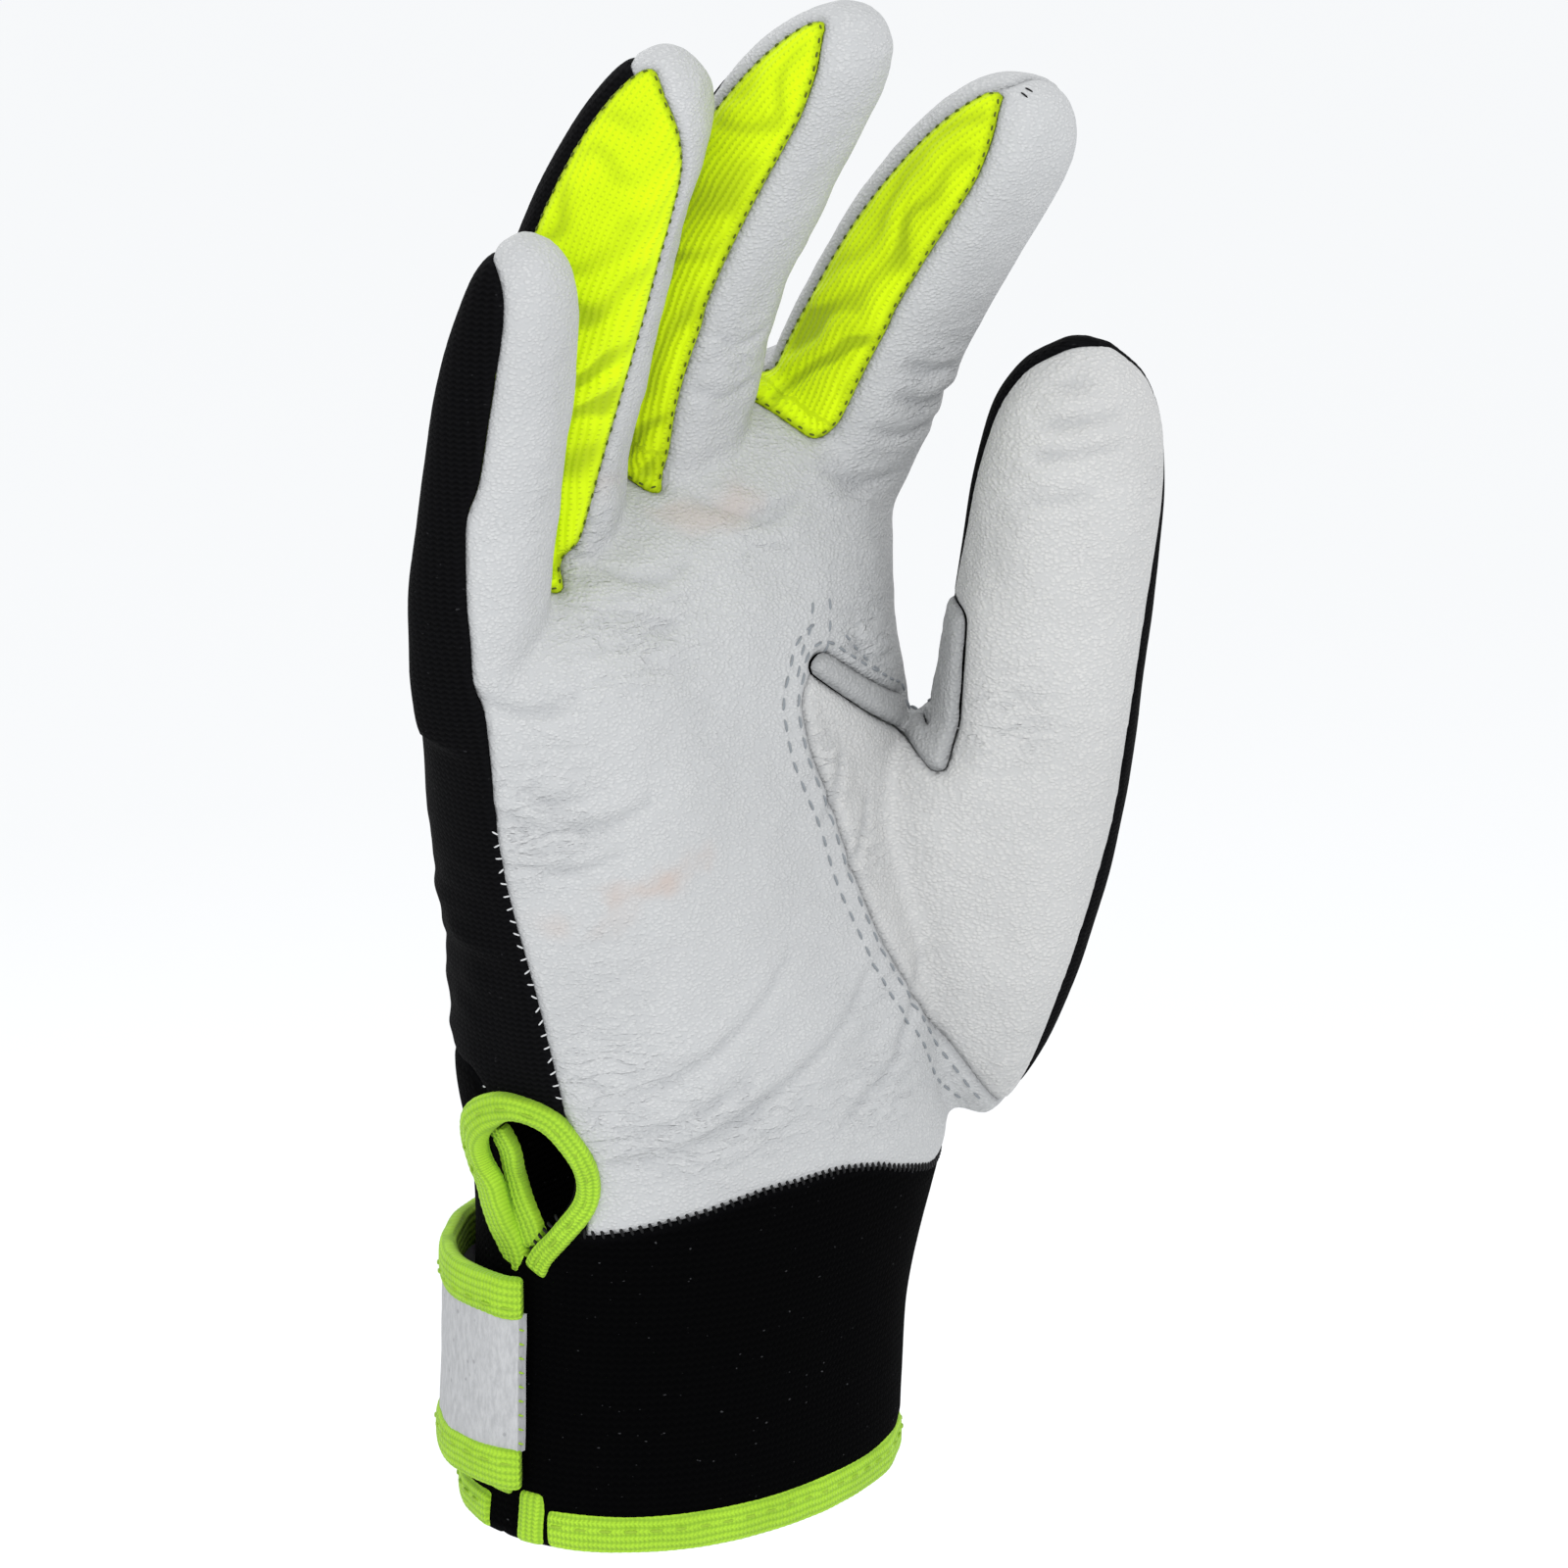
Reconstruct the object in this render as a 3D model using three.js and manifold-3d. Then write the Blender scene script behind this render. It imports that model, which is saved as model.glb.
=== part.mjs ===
// A goatskin work glove for the right hand, standing open as if a hand filled it.
// White leather covers the palm, the thumb and the index finger, black knit the back, and yellow
// strips the sides of the fingers. A black cuff with a bound slit closes with a strap over the wrist.
//
// Millimetres. +Z runs from the cuff to the fingertips, +X towards the thumb and -Y out of the palm.
// The origin is the middle of the cuff's opening, where the wrist goes in.

import * as THREE from "three";
import { mergeVertices } from "three/addons/utils/BufferGeometryUtils.js";
import Module from "manifold-3d";

const wasm = await Module();
wasm.setup();

// Walls and clearances

const LEATHER_WALL = 1.4;
const CUFF_WALL = 2.4;
const SEAM_GAP = 0.3;

// The hand, from the hem to the floor between the fingers

const HAND_HEIGHT = 150.6;
const PALM_WIDTH = 93;
const PALM_DEPTH = 43;
const CUFF_WIDTH = 72;
const CUFF_DEPTH = 54;
const HAND_SIDES = 28;
const HAND_SQUARENESS = 2.15;

// Rows from the hem up. up: share of HAND_HEIGHT. girth: 0 takes the cuff's width and depth, 1 the
// palm's. width, depth: shares of those. across, forward: the middle's shift to the thumb and out of
// the palm, shares of the palm's width and depth. arch: how far both edges cup forward, share of the
// palm's depth. rise: how much higher the thumb's edge is than the middle, share of HAND_HEIGHT.
const HAND_SECTIONS = [
  { up: 0.0, girth: 0, width: 1.0, depth: 1.0, across: 0.0, forward: 0.0, arch: 0.0, rise: 0.0 },
  { up: 0.137, girth: 0, width: 0.99, depth: 0.985, across: 0.022, forward: 0.0, arch: 0.0, rise: 0.0 },
  { up: 0.263, girth: 0, width: 1.07, depth: 0.985, across: 0.06, forward: 0.01, arch: 0.0, rise: 0.0 },
  { up: 0.347, girth: 0, width: 1.17, depth: 0.97, across: 0.086, forward: 0.01, arch: 0.0, rise: 0.0 },
  { up: 0.42, girth: 1, width: 0.94, depth: 1.2, across: 0.062, forward: 0.02, arch: 0.0, rise: 0.0 },
  { up: 0.526, girth: 1, width: 0.95, depth: 1.16, across: 0.042, forward: 0.0, arch: 0.03, rise: 0.0 },
  { up: 0.653, girth: 1, width: 0.945, depth: 1.08, across: 0.006, forward: -0.03, arch: 0.06, rise: 0.01 },
  { up: 0.768, girth: 1, width: 0.92, depth: 1.02, across: -0.036, forward: -0.06, arch: 0.1, rise: 0.03 },
  { up: 0.86, girth: 1, width: 0.93, depth: 0.96, across: -0.05, forward: -0.07, arch: 0.12, rise: 0.06 },
  { up: 0.93, girth: 1, width: 0.96, depth: 0.84, across: -0.055, forward: -0.1, arch: 0.13, rise: 0.085 },
  { up: 0.975, girth: 1, width: 0.93, depth: 0.58, across: -0.055, forward: -0.1, arch: 0.13, rise: 0.1 },
  { up: 1.0, girth: 1, width: 0.86, depth: 0.22, across: -0.055, forward: -0.1, arch: 0.13, rise: 0.1 },
];

// The fingers. length: from the root inside the palm to the tip. across, forward, up: the root's place.
// lean: tilt towards the thumb. turn: how far the pad faces the thumb. curlRoot, curlTip: bend
// towards the palm at the root and at the tip. The rest are where the panels meet, in degrees
// round the finger from its thumb side over the pad: the pad's leather from frontFrom to frontTo,
// which starts at frontRoot by the palm, and the back panel from backFrom to backTo. beside: how much
// further the pad's leather reaches, on its thumb side and on its other side, where a strip is cut first.
const FINGERS = {
  index: {
    length: 83, width: 23, depth: 23, across: 28.7, forward: -1.5, up: 132.6,
    lean: 4.9, turn: -8, curlRoot: 13.7, curlTip: 50,
    frontFrom: 38, frontRoot: 148, frontTo: 138, backFrom: 206, backTo: 397.5, beside: [0, 14],
  },
  middle: {
    length: 96.5, width: 21.6, depth: 21.2, across: 0.5, forward: -5.9, up: 130.6,
    lean: 1.4, turn: -4, curlRoot: 0.5, curlTip: 51,
    frontFrom: 26, frontRoot: 138, frontTo: 134, backFrom: 208, backTo: 332, beside: [14, 14],
  },
  ring: {
    length: 88.2, width: 21.4, depth: 22, across: -22.7, forward: -5.2, up: 126.6,
    lean: -3.5, turn: 22, curlRoot: -1.6, curlTip: 32.5,
    frontFrom: 18, frontRoot: 146, frontTo: 121, backFrom: 218, backTo: 330, beside: [14, 14],
  },
  pinky: {
    length: 71.5, width: 18.4, depth: 17.8, across: -42.4, forward: -0.5, up: 118.6,
    lean: -4.7, turn: 18, curlRoot: 5.2, curlTip: 15.6,
    frontFrom: 30, frontRoot: 161, frontTo: 175, backFrom: 175, backTo: 332, beside: [14, 0],
  },
};
const FINGER_SIDES = 16;
const FINGER_SQUARENESS = 2.5;

// Rows from the root to the tip. along: share of the length. width, depth: shares of the finger's.
// strip: share of the side strips' full width, which closes over the tip.
const FINGER_SECTIONS = [
  { along: 0.0, width: 0.74, depth: 0.74, strip: 1 },
  { along: 0.15, width: 0.93, depth: 0.93, strip: 1 },
  { along: 0.3, width: 1.0, depth: 1.0, strip: 1 },
  { along: 0.45, width: 0.98, depth: 1.0, strip: 1 },
  { along: 0.6, width: 0.97, depth: 0.98, strip: 1 },
  { along: 0.74, width: 0.92, depth: 0.91, strip: 0.98 },
  { along: 0.85, width: 0.84, depth: 0.81, strip: 0.92 },
  { along: 0.93, width: 0.7, depth: 0.65, strip: 0.7 },
  { along: 0.98, width: 0.48, depth: 0.42, strip: 0.2 },
  { along: 1.0, width: 0.2, depth: 0.18, strip: 0 },
];

// Where the side strips and the back panel end.
const TIP_ROW = { along: 0.955, width: 0.6, depth: 0.55, strip: 0.25 };

// The thumb, built as a finger is, with a mound on its palm side
const THUMB = {
  length: 122, width: 28, depth: 27, across: 47, forward: 17.9, up: 46.6,
  lean: 6.4, turn: -50, curlRoot: 10.8, curlTip: 8.3,
};
const THUMB_SIDES = 18;
const THUMB_SQUARENESS = 2.3;

// inner, outer: half-widths towards the palm and away from it, as shares of half the thumb's width.
const THUMB_SECTIONS = [
  { along: 0.02, inner: 0.25, outer: 0.05, depth: 0.4 },
  { along: 0.07, inner: 1.0, outer: 0.36, depth: 0.8 },
  { along: 0.16, inner: 1.5, outer: 0.66, depth: 1.0 },
  { along: 0.28, inner: 1.9, outer: 0.86, depth: 1.1 },
  { along: 0.4, inner: 2.0, outer: 0.98, depth: 1.12 },
  { along: 0.47, inner: 1.6, outer: 1.02, depth: 1.08 },
  { along: 0.53, inner: 1.05, outer: 1.02, depth: 1.02 },
  { along: 0.65, inner: 1.0, outer: 1.0, depth: 1.0 },
  { along: 0.8, inner: 0.97, outer: 0.97, depth: 0.95 },
  { along: 0.9, inner: 0.86, outer: 0.86, depth: 0.82 },
  { along: 0.96, inner: 0.64, outer: 0.64, depth: 0.6 },
  { along: 1.0, inner: 0.22, outer: 0.22, depth: 0.2 },
];

// The outline of the thumb's leather, drawn on an upright plane that faces its pad.
// across: towards the thumb's outer side. up: height. welt: the edge that the folded welt covers.
const THUMB_FACING = -50;
const THUMB_OUTLINE = [
  { across: 56, up: 38.6 },
  { across: 43.8, up: 54.7 },
  { across: 36.2, up: 66.4 },
  { across: 28.9, up: 81.7 },
  { across: 24.6, up: 93.2 },
  { across: 21.8, up: 102.7 },
  { across: 19.1, up: 110.2 },
  { across: 17.7, up: 117.2 },
  { across: 18.4, up: 120.8 },
  { across: 20.2, up: 122, welt: true },
  { across: 28.8, up: 113.4, welt: true },
  { across: 36.6, up: 105.9, welt: true },
  { across: 38.1, up: 111.6, welt: true },
  { across: 38.9, up: 126.4, welt: true },
  { across: 40.2, up: 147 },
  { across: 43.4, up: 167.6 },
  { across: 52, up: 183.6 },
  { across: 95, up: 183.6 },
  { across: 95, up: 38.6 },
];

// How high the cuff reaches round the wrist, by the angle from the thumb's side over the back.
const CUFF_TOP = [
  { angle: 0, up: 45.6 },
  { angle: 35, up: 56.6 },
  { angle: 70, up: 67.6 },
  { angle: 120, up: 69.6 },
  { angle: 172, up: 69.6 },
  { angle: 184, up: 58.6 },
  { angle: 192, up: 46.2 },
  { angle: 215, up: 48.4 },
  { angle: 240, up: 50.6 },
  { angle: 260, up: 50.6 },
  { angle: 280, up: 49.1 },
  { angle: 300, up: 46.1 },
  { angle: 320, up: 43.6 },
  { angle: 340, up: 44.1 },
];

// How the palm's leather meets the back's knit on the hand: forward of the middle at each edge.
const PALM_EDGES = [
  { up: 0.0, ulnar: 0, radial: 0 },
  { up: 0.347, ulnar: 16, radial: -4 },
  { up: 0.42, ulnar: 13.5, radial: -4 },
  { up: 0.526, ulnar: 10.5, radial: -4 },
  { up: 0.653, ulnar: 9, radial: -4 },
  { up: 0.768, ulnar: 10, radial: 2 },
  { up: 0.86, ulnar: 10.5, radial: 8 },
  { up: 0.93, ulnar: 10, radial: 11 },
  { up: 1.0, ulnar: 8, radial: 12 },
];

// Bindings, the welt and the strap

const FLOOR_STEP = 2;
const BINDING_THICKNESS = 3.2;
const WELT_WIDTH = 3.2;
const WELT_PROUD = 0.7;
const HEM_BINDING_WIDTH = 5.6;
const SLIT_BINDING_WIDTH = 4.4;
const STRAP_THICKNESS = 1.8;
const STRAP_BINDING_THICKNESS = 2.8;
const STRAP_BOTTOM = 8;
const STRAP_TOP = 39.4;
const STRAP_BINDING_WIDTH = 6.2;

// The bound edge of the slit at the little finger's side, from the strap's upper corner round the
// loop to the hem's back corner. forward, up: the place on the glove. out: how far it stands off.
const SLIT_PATH = [
  { forward: 2.9, up: 42.2, out: -0.6 },
  { forward: 6.4, up: 46.1, out: -0.4 },
  { forward: 10.0, up: 51.1, out: -0.1 },
  { forward: 11.2, up: 56.6, out: 0.1 },
  { forward: 10.4, up: 61.1, out: 0.3 },
  { forward: 8.0, up: 64.6, out: 0.6 },
  { forward: 3.2, up: 65.8, out: 0.9 },
  { forward: -1.4, up: 64, out: 1.1 },
  { forward: -4.8, up: 60, out: 1.4 },
  { forward: -6.2, up: 55.2, out: 1.3 },
  { forward: -5.6, up: 50.6, out: 0.6 },
  { forward: -4.6, up: 46.1, out: 0.0 },
  { forward: -3.4, up: 41.6, out: -1.0 },
  { forward: -3.4, up: 36.6, out: -1.3 },
  { forward: -3.4, up: 20.6, out: -1.3 },
  { forward: -3.4, up: 6.2, out: -1.3 },
];

// The slit's front edge: bare where the strap is sewn on, with a short binding below.
const SLIT_FRONT_EDGE = 1.6;
const SLIT_CORNER = { forward: 2.6, bottom: 0.2, top: 7.5, out: -1.0 };

// The strap from its sewn end over the slit to the back of the wrist. angle: round the wrist from
// the thumb's side over the back. out: how far its middle stands off the cuff.
const STRAP_PATH = [
  { angle: 182.1, out: 0.9 },
  { angle: 178.6, out: 2.1 },
  { angle: 170, out: 2.4 },
  { angle: 160, out: 2.7 },
  { angle: 150, out: 2.7 },
  { angle: 140, out: 2.4 },
  { angle: 130, out: 2.0 },
  { angle: 118, out: 1.8 },
  { angle: 90, out: 1.8 },
  { angle: 66, out: 1.8 },
];
const STRAP_LEAN = 0.03;
const STRAP_LEANS_FROM = 135;

// Vectors and solids

const vec = (x, y, z) => new THREE.Vector3(x, y, z);
const radians = THREE.MathUtils.degToRad;
const signedPower = (value, power) => Math.sign(value) * Math.abs(value) ** power;

// The value of a column where another column reaches a place, between the rows around it.
function between(rows, column, key, at) {
  let row = 0;
  while (row < rows.length - 2 && rows[row + 1][column] < at) row++;
  const [low, high] = [rows[row], rows[row + 1]];
  const share = THREE.MathUtils.clamp((at - low[column]) / (high[column] - low[column]), 0, 1);
  return THREE.MathUtils.lerp(low[key], high[key], share);
}

// A three.js geometry as a solid that faces outwards.
function toSolid(geometry, tolerance = 1e-4) {
  const bare = geometry.clone();
  bare.deleteAttribute("normal");
  bare.deleteAttribute("uv");
  const merged = mergeVertices(bare, tolerance);
  const vertProperties = new Float32Array(merged.attributes.position.array);
  const triVerts = new Uint32Array(merged.index.array);
  const made = new wasm.Manifold(new wasm.Mesh({ numProp: 3, vertProperties, triVerts }));
  if (made.volume() > 0) return made;
  for (let i = 0; i < triVerts.length; i += 3) {
    [triVerts[i + 1], triVerts[i + 2]] = [triVerts[i + 2], triVerts[i + 1]];
  }
  return new wasm.Manifold(new wasm.Mesh({ numProp: 3, vertProperties, triVerts }));
}

// A closed solid through rings of as many points each, with both ends capped.
function loft(rings) {
  const count = rings[0].length;
  const points = rings.flat();
  const faces = [];
  for (let r = 0; r < rings.length - 1; r++) {
    for (let i = 0; i < count; i++) {
      const here = r * count + i;
      const next = r * count + ((i + 1) % count);
      faces.push(here, next, next + count, here, next + count, here + count);
    }
  }
  for (const [ring, start, flip] of [
    [rings[0], 0, true],
    [rings.at(-1), (rings.length - 1) * count, false],
  ]) {
    const middle = points.length;
    points.push(ring.reduce((sum, p) => sum.add(p), vec(0, 0, 0)).divideScalar(count));
    for (let i = 0; i < count; i++) {
      const here = start + i;
      const next = start + ((i + 1) % count);
      faces.push(...(flip ? [middle, next, here] : [middle, here, next]));
    }
  }
  return toSolid(new THREE.BufferGeometry().setFromPoints(points).setIndex(faces));
}

const joinAll = (solids) => solids.reduce((sum, solid) => sum.add(solid));

// Stations: a middle, directions and half sizes at each row of a table

function handStations(rows = HAND_SECTIONS) {
  return rows.map((row) => {
    const halfWidth = ((row.girth ? PALM_WIDTH : CUFF_WIDTH) * row.width) / 2;
    return {
      up: row.up,
      centre: vec(row.across * PALM_WIDTH, -row.forward * PALM_DEPTH, row.up * HAND_HEIGHT),
      sideways: vec(1, 0, (row.rise * HAND_HEIGHT) / halfWidth),
      palmar: vec(0, -1, 0),
      along: vec(0, 0, 1),
      inner: halfWidth,
      outer: halfWidth,
      halfDepth: ((row.girth ? PALM_DEPTH : CUFF_DEPTH) * row.depth) / 2,
      arch: row.arch * PALM_DEPTH,
      wall: row.girth ? LEATHER_WALL : CUFF_WALL,
    };
  });
}

// The hand's station at any height, between the rows around it.
function handStationAt(height) {
  const stations = handStations();
  let row = 0;
  while (row < stations.length - 2 && stations[row + 1].centre.z < height) row++;
  const [low, high] = [stations[row], stations[row + 1]];
  const share = (height - low.centre.z) / (high.centre.z - low.centre.z);
  const mix = (key) => THREE.MathUtils.lerp(low[key], high[key], share);
  return {
    ...low,
    centre: low.centre.clone().lerp(high.centre, share),
    inner: mix("inner"),
    outer: mix("outer"),
    halfDepth: mix("halfDepth"),
    arch: mix("arch"),
  };
}

// The stations of a finger or the thumb, stepping along its curved middle line.
function digitStations(digit, sections, longer = 0) {
  const turn = radians(digit.turn);
  const palmar = vec(Math.sin(turn), -Math.cos(turn), 0);
  const sideways = vec(Math.cos(turn), Math.sin(turn), 0);
  const length = digit.length + longer;
  const STEPS = 60;
  const directionAt = (share) => {
    const curl = radians(digit.curlRoot + (digit.curlTip - digit.curlRoot) * share);
    const lean = radians(digit.lean);
    return vec(0, 0, Math.cos(curl))
      .addScaledVector(palmar, Math.sin(curl))
      .multiplyScalar(Math.cos(lean))
      .addScaledVector(sideways, Math.sin(lean));
  };
  const line = [vec(digit.across, -digit.forward, digit.up)];
  for (let i = 0; i < STEPS; i++) {
    line.push(line[i].clone().addScaledVector(directionAt((i + 0.5) / STEPS), length / STEPS));
  }
  return sections.map((row) => {
    const step = row.along * STEPS;
    const before = Math.min(Math.floor(step), STEPS - 1);
    const along = directionAt(row.along);
    const front = palmar.clone().addScaledVector(along, -palmar.dot(along)).normalize();
    return {
      ...row,
      centre: line[before].clone().lerp(line[before + 1], step - before),
      direction: along,
      palmar: front,
      sideways: along.clone().cross(front),
      inner: (digit.width / 2) * (row.inner ?? row.width),
      outer: (digit.width / 2) * (row.outer ?? row.width),
      halfDepth: (digit.depth / 2) * row.depth,
      arch: 0,
      wall: LEATHER_WALL,
    };
  });
}

// The place at a station, across towards the thumb and forward out of the palm.
const place = (station, across, forward) =>
  station.centre
    .clone()
    .addScaledVector(station.sideways, across)
    .addScaledVector(station.palmar, forward);

// A ring of points round a station, grown by some millimetres.
function ringAt(station, sides, squareness, grow) {
  const ring = [];
  for (let i = 0; i < sides; i++) {
    const angle = (2 * Math.PI * i) / sides;
    const across = signedPower(Math.cos(angle), 2 / squareness);
    const forward = signedPower(Math.sin(angle), 2 / squareness);
    const halfWidth = Math.max((across > 0 ? station.outer : station.inner) + grow, 0.5);
    const halfDepth = Math.max(station.halfDepth + grow, 0.5);
    ring.push(place(station, across * halfWidth, forward * halfDepth + station.arch * across ** 2));
  }
  return ring;
}

const FINGER_NAMES = Object.keys(FINGERS);

const fingerForm = (finger, grow) =>
  loft(
    digitStations(finger, FINGER_SECTIONS, grow).map((station) =>
      ringAt(station, FINGER_SIDES, FINGER_SQUARENESS, grow),
    ),
  );

const thumbForm = (grow) =>
  loft(
    digitStations(THUMB, THUMB_SECTIONS, grow).map((station) =>
      ringAt(station, THUMB_SIDES, THUMB_SQUARENESS, grow),
    ),
  );

const handForm = (grow) =>
  loft(handStations().map((station) => ringAt(station, HAND_SIDES, HAND_SQUARENESS, grow)));

// The glove's outside, grown by some millimetres.
const outerForm = (grow) =>
  joinAll([
    handForm(grow),
    thumbForm(grow),
    ...FINGER_NAMES.map((name) => fingerForm(FINGERS[name], grow)),
  ]);

// The hollow that the hand fills, open at the hem.
function innerForm() {
  const rings = handStations().map((station) => {
    const lowered = station.up === 0 ? -1 : 0;
    const ring = ringAt(station, HAND_SIDES, HAND_SQUARENESS, -station.wall);
    return ring.map((point) => point.add(vec(0, 0, lowered)));
  });
  const fingers = FINGER_NAMES.map((name) => fingerForm(FINGERS[name], -LEATHER_WALL));
  return joinAll([loft(rings), thumbForm(-LEATHER_WALL), ...fingers]);
}

// Regions: solids that claim part of the shell for one panel. Each grows by the gap of a seam

// A wedge round a digit's middle line, from one angle to another at each row.
function wedge(stations, from, to, reach, grow) {
  const STEPS = 4;
  return loft(
    stations.map((station) => {
      const [start, end] = [radians(from(station)), radians(to(station))];
      const radius = Math.max(reach(station), 1);
      const middle = (start + end) / 2;
      const spread = grow / Math.max(Math.sin(Math.min(end - start, Math.PI) / 2), 0.35);
      const apex = place(station, -Math.cos(middle) * spread, -Math.sin(middle) * spread);
      const ring = [apex];
      for (let i = 0; i <= STEPS; i++) {
        const angle = start + ((end - start) * i) / STEPS;
        const far = radius / Math.cos((end - start) / STEPS / 2);
        const side = i === 0 ? -grow : i === STEPS ? grow : 0;
        ring.push(
          place(
            station,
            Math.cos(angle) * far - Math.sin(angle) * side,
            Math.sin(angle) * far + Math.cos(angle) * side,
          ),
        );
      }
      return ring;
    }),
  );
}

// A straight prism from an outline of [x, y] pairs on a plane, between two heights above it.
function prism(outline, low, high, origin, right, upward, normal) {
  const shape = new THREE.Shape(outline.map(([x, y]) => new THREE.Vector2(x, y)));
  const geometry = new THREE.ExtrudeGeometry(shape, { depth: high - low, bevelEnabled: false });
  geometry.translate(0, 0, low);
  geometry.applyMatrix4(new THREE.Matrix4().makeBasis(right, upward, normal).setPosition(origin));
  return toSolid(geometry);
}

// An outline moved outwards by some millimetres.
function offsetOutline(outline, distance) {
  const area = outline.reduce((sum, [x, y], i) => {
    const [nextX, nextY] = outline[(i + 1) % outline.length];
    return sum + x * nextY - nextX * y;
  }, 0);
  const outward = Math.sign(area) * distance;
  return outline.map(([x, y], i) => {
    const before = outline[(i + outline.length - 1) % outline.length];
    const after = outline[(i + 1) % outline.length];
    const first = new THREE.Vector2(y - before[1], before[0] - x).normalize();
    const second = new THREE.Vector2(after[1] - y, x - after[0]).normalize();
    const mitre = first.clone().add(second).normalize();
    const length = outward / Math.max(mitre.dot(second), 0.4);
    return [x + mitre.x * length, y + mitre.y * length];
  });
}

// A bar swept along a path: each stop has a place, the way outwards and the way up its width.
function sweep(stops, thickness, width, closed = false) {
  const corner = Math.min(thickness, width) * 0.28;
  const [halfThick, halfWide] = [thickness / 2, width / 2];
  const outline = [
    [halfThick, -(halfWide - corner)],
    [halfThick, halfWide - corner],
    [halfThick - corner, halfWide],
    [-(halfThick - corner), halfWide],
    [-halfThick, halfWide - corner],
    [-halfThick, -(halfWide - corner)],
    [-(halfThick - corner), -halfWide],
    [halfThick - corner, -halfWide],
  ];
  const rings = stops.map((stop) =>
    outline.map(([out, wide]) =>
      stop.point.clone().addScaledVector(stop.out, out).addScaledVector(stop.wide, wide),
    ),
  );
  return closed ? loft([...rings, rings[0]]) : loft(rings);
}

// Places on the cuff

// The wrist's surface where its side for the little finger lies so far forward, and the way out.
function ulnarPlace(forward, up, out) {
  const station = handStationAt(up);
  const local = forward + station.centre.y;
  const power = Math.abs(local / station.halfDepth) ** HAND_SQUARENESS;
  const across = -station.inner * (1 - power) ** (1 / HAND_SQUARENESS);
  const outwards = vec(across / station.inner ** 2, -local / station.halfDepth ** 2, 0).normalize();
  const point = vec(station.centre.x + across, -forward, up).addScaledVector(outwards, out);
  return { point, outwards };
}

// The cuff's surface at an angle from the thumb's side over the back, and the way out.
function cuffPlace(angle, up, out) {
  const station = handStationAt(up);
  const [cos, sin] = [Math.cos(radians(angle)), Math.sin(radians(angle))];
  const power =
    Math.abs(cos / station.inner) ** HAND_SQUARENESS +
    Math.abs(sin / station.halfDepth) ** HAND_SQUARENESS;
  const radius = power ** (-1 / HAND_SQUARENESS);
  const outwards = vec(cos / station.inner ** 2, sin / station.halfDepth ** 2, 0).normalize();
  const point = vec(station.centre.x + cos * radius, station.centre.y + sin * radius, up);
  return { point: point.addScaledVector(outwards, out), outwards };
}

// The stops of the slit's binding, with its width running along the glove's surface.
function slitStops() {
  const places = SLIT_PATH.map((row) => ulnarPlace(row.forward, row.up, row.out));
  return places.map(({ point, outwards }, i) => {
    const before = places[Math.max(i - 1, 0)].point;
    const after = places[Math.min(i + 1, places.length - 1)].point;
    const along = after.clone().sub(before).normalize();
    const wide = along.clone().cross(outwards).normalize();
    return { point, out: wide.clone().cross(along).normalize(), wide };
  });
}

// What the slit and its bindings take out of the shell, drawn on [forward, up].
function slitCutter(grow) {
  const margin = SLIT_BINDING_WIDTH / 2 + grow;
  const front = SLIT_FRONT_EDGE - margin;
  const loop = SLIT_PATH.map((row) => [row.forward, row.up]);
  const outline = [[front, -5], [front, SLIT_PATH[0].up - 2], ...loop, [loop.at(-1)[0], -5]];
  const corner = SLIT_CORNER.forward + margin;
  const low = [[front, -5], [corner, -5], [corner, SLIT_CORNER.top + grow]];
  const axes = [vec(0, 0, 0), vec(0, -1, 0), vec(0, 0, 1), vec(-1, 0, 0)];
  return prism(offsetOutline(outline, margin), 0, 70, ...axes).add(
    prism([...low, [front, SLIT_CORNER.top + grow]], 0, 70, ...axes),
  );
}

// Panels

// Where the side strips close over the back of a fingertip: the little finger's side, then the thumb's.
const TIP_ANGLES = [214, 326];

// A seam's angle at a station: its own along the finger, and the closing angle at the tip.
const seamAngle = (angle, closing, station) => THREE.MathUtils.lerp(closing, angle, station.strip);

// How far a finger's regions reach from its middle line: past its corners, short of the next finger.
const reachOf = (station) => station.inner * 1.22 + 0.4;

// The edge of the pad's leather that faces the little finger.
const frontEdge = (finger, station) => {
  const share = THREE.MathUtils.clamp(station.along / 0.6, 0, 1);
  const angle = THREE.MathUtils.lerp(finger.frontRoot, finger.frontTo, share);
  return seamAngle(angle, TIP_ANGLES[0], station);
};

// The stations of a finger from a share of its length up, with the rows between kept.
function fingerStationsFrom(finger, start, grow) {
  const rows = FINGER_SECTIONS.filter((row) => row.along > start + 0.02);
  const first = { ...FINGER_SECTIONS[2], along: start - grow / finger.length };
  const last = { ...TIP_ROW, along: TIP_ROW.along + grow / finger.length };
  return digitStations(finger, [first, ...rows.filter((row) => row.along < TIP_ROW.along), last]);
}

// A finger's whole end past the side strips, which the pad's leather wraps.
const fingerTip = (finger, grow) =>
  loft(
    [TIP_ROW.along - (grow + 0.2) / finger.length, 1.05].map((along) => {
      const [station] = digitStations(finger, [{ ...TIP_ROW, along: Math.min(along, 1) }]);
      station.centre.addScaledVector(station.direction, (along - Math.min(along, 1)) * finger.length);
      return [[-12, -12], [12, -12], [12, 12], [-12, 12]].map((at) => place(station, ...at));
    }),
  );

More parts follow.
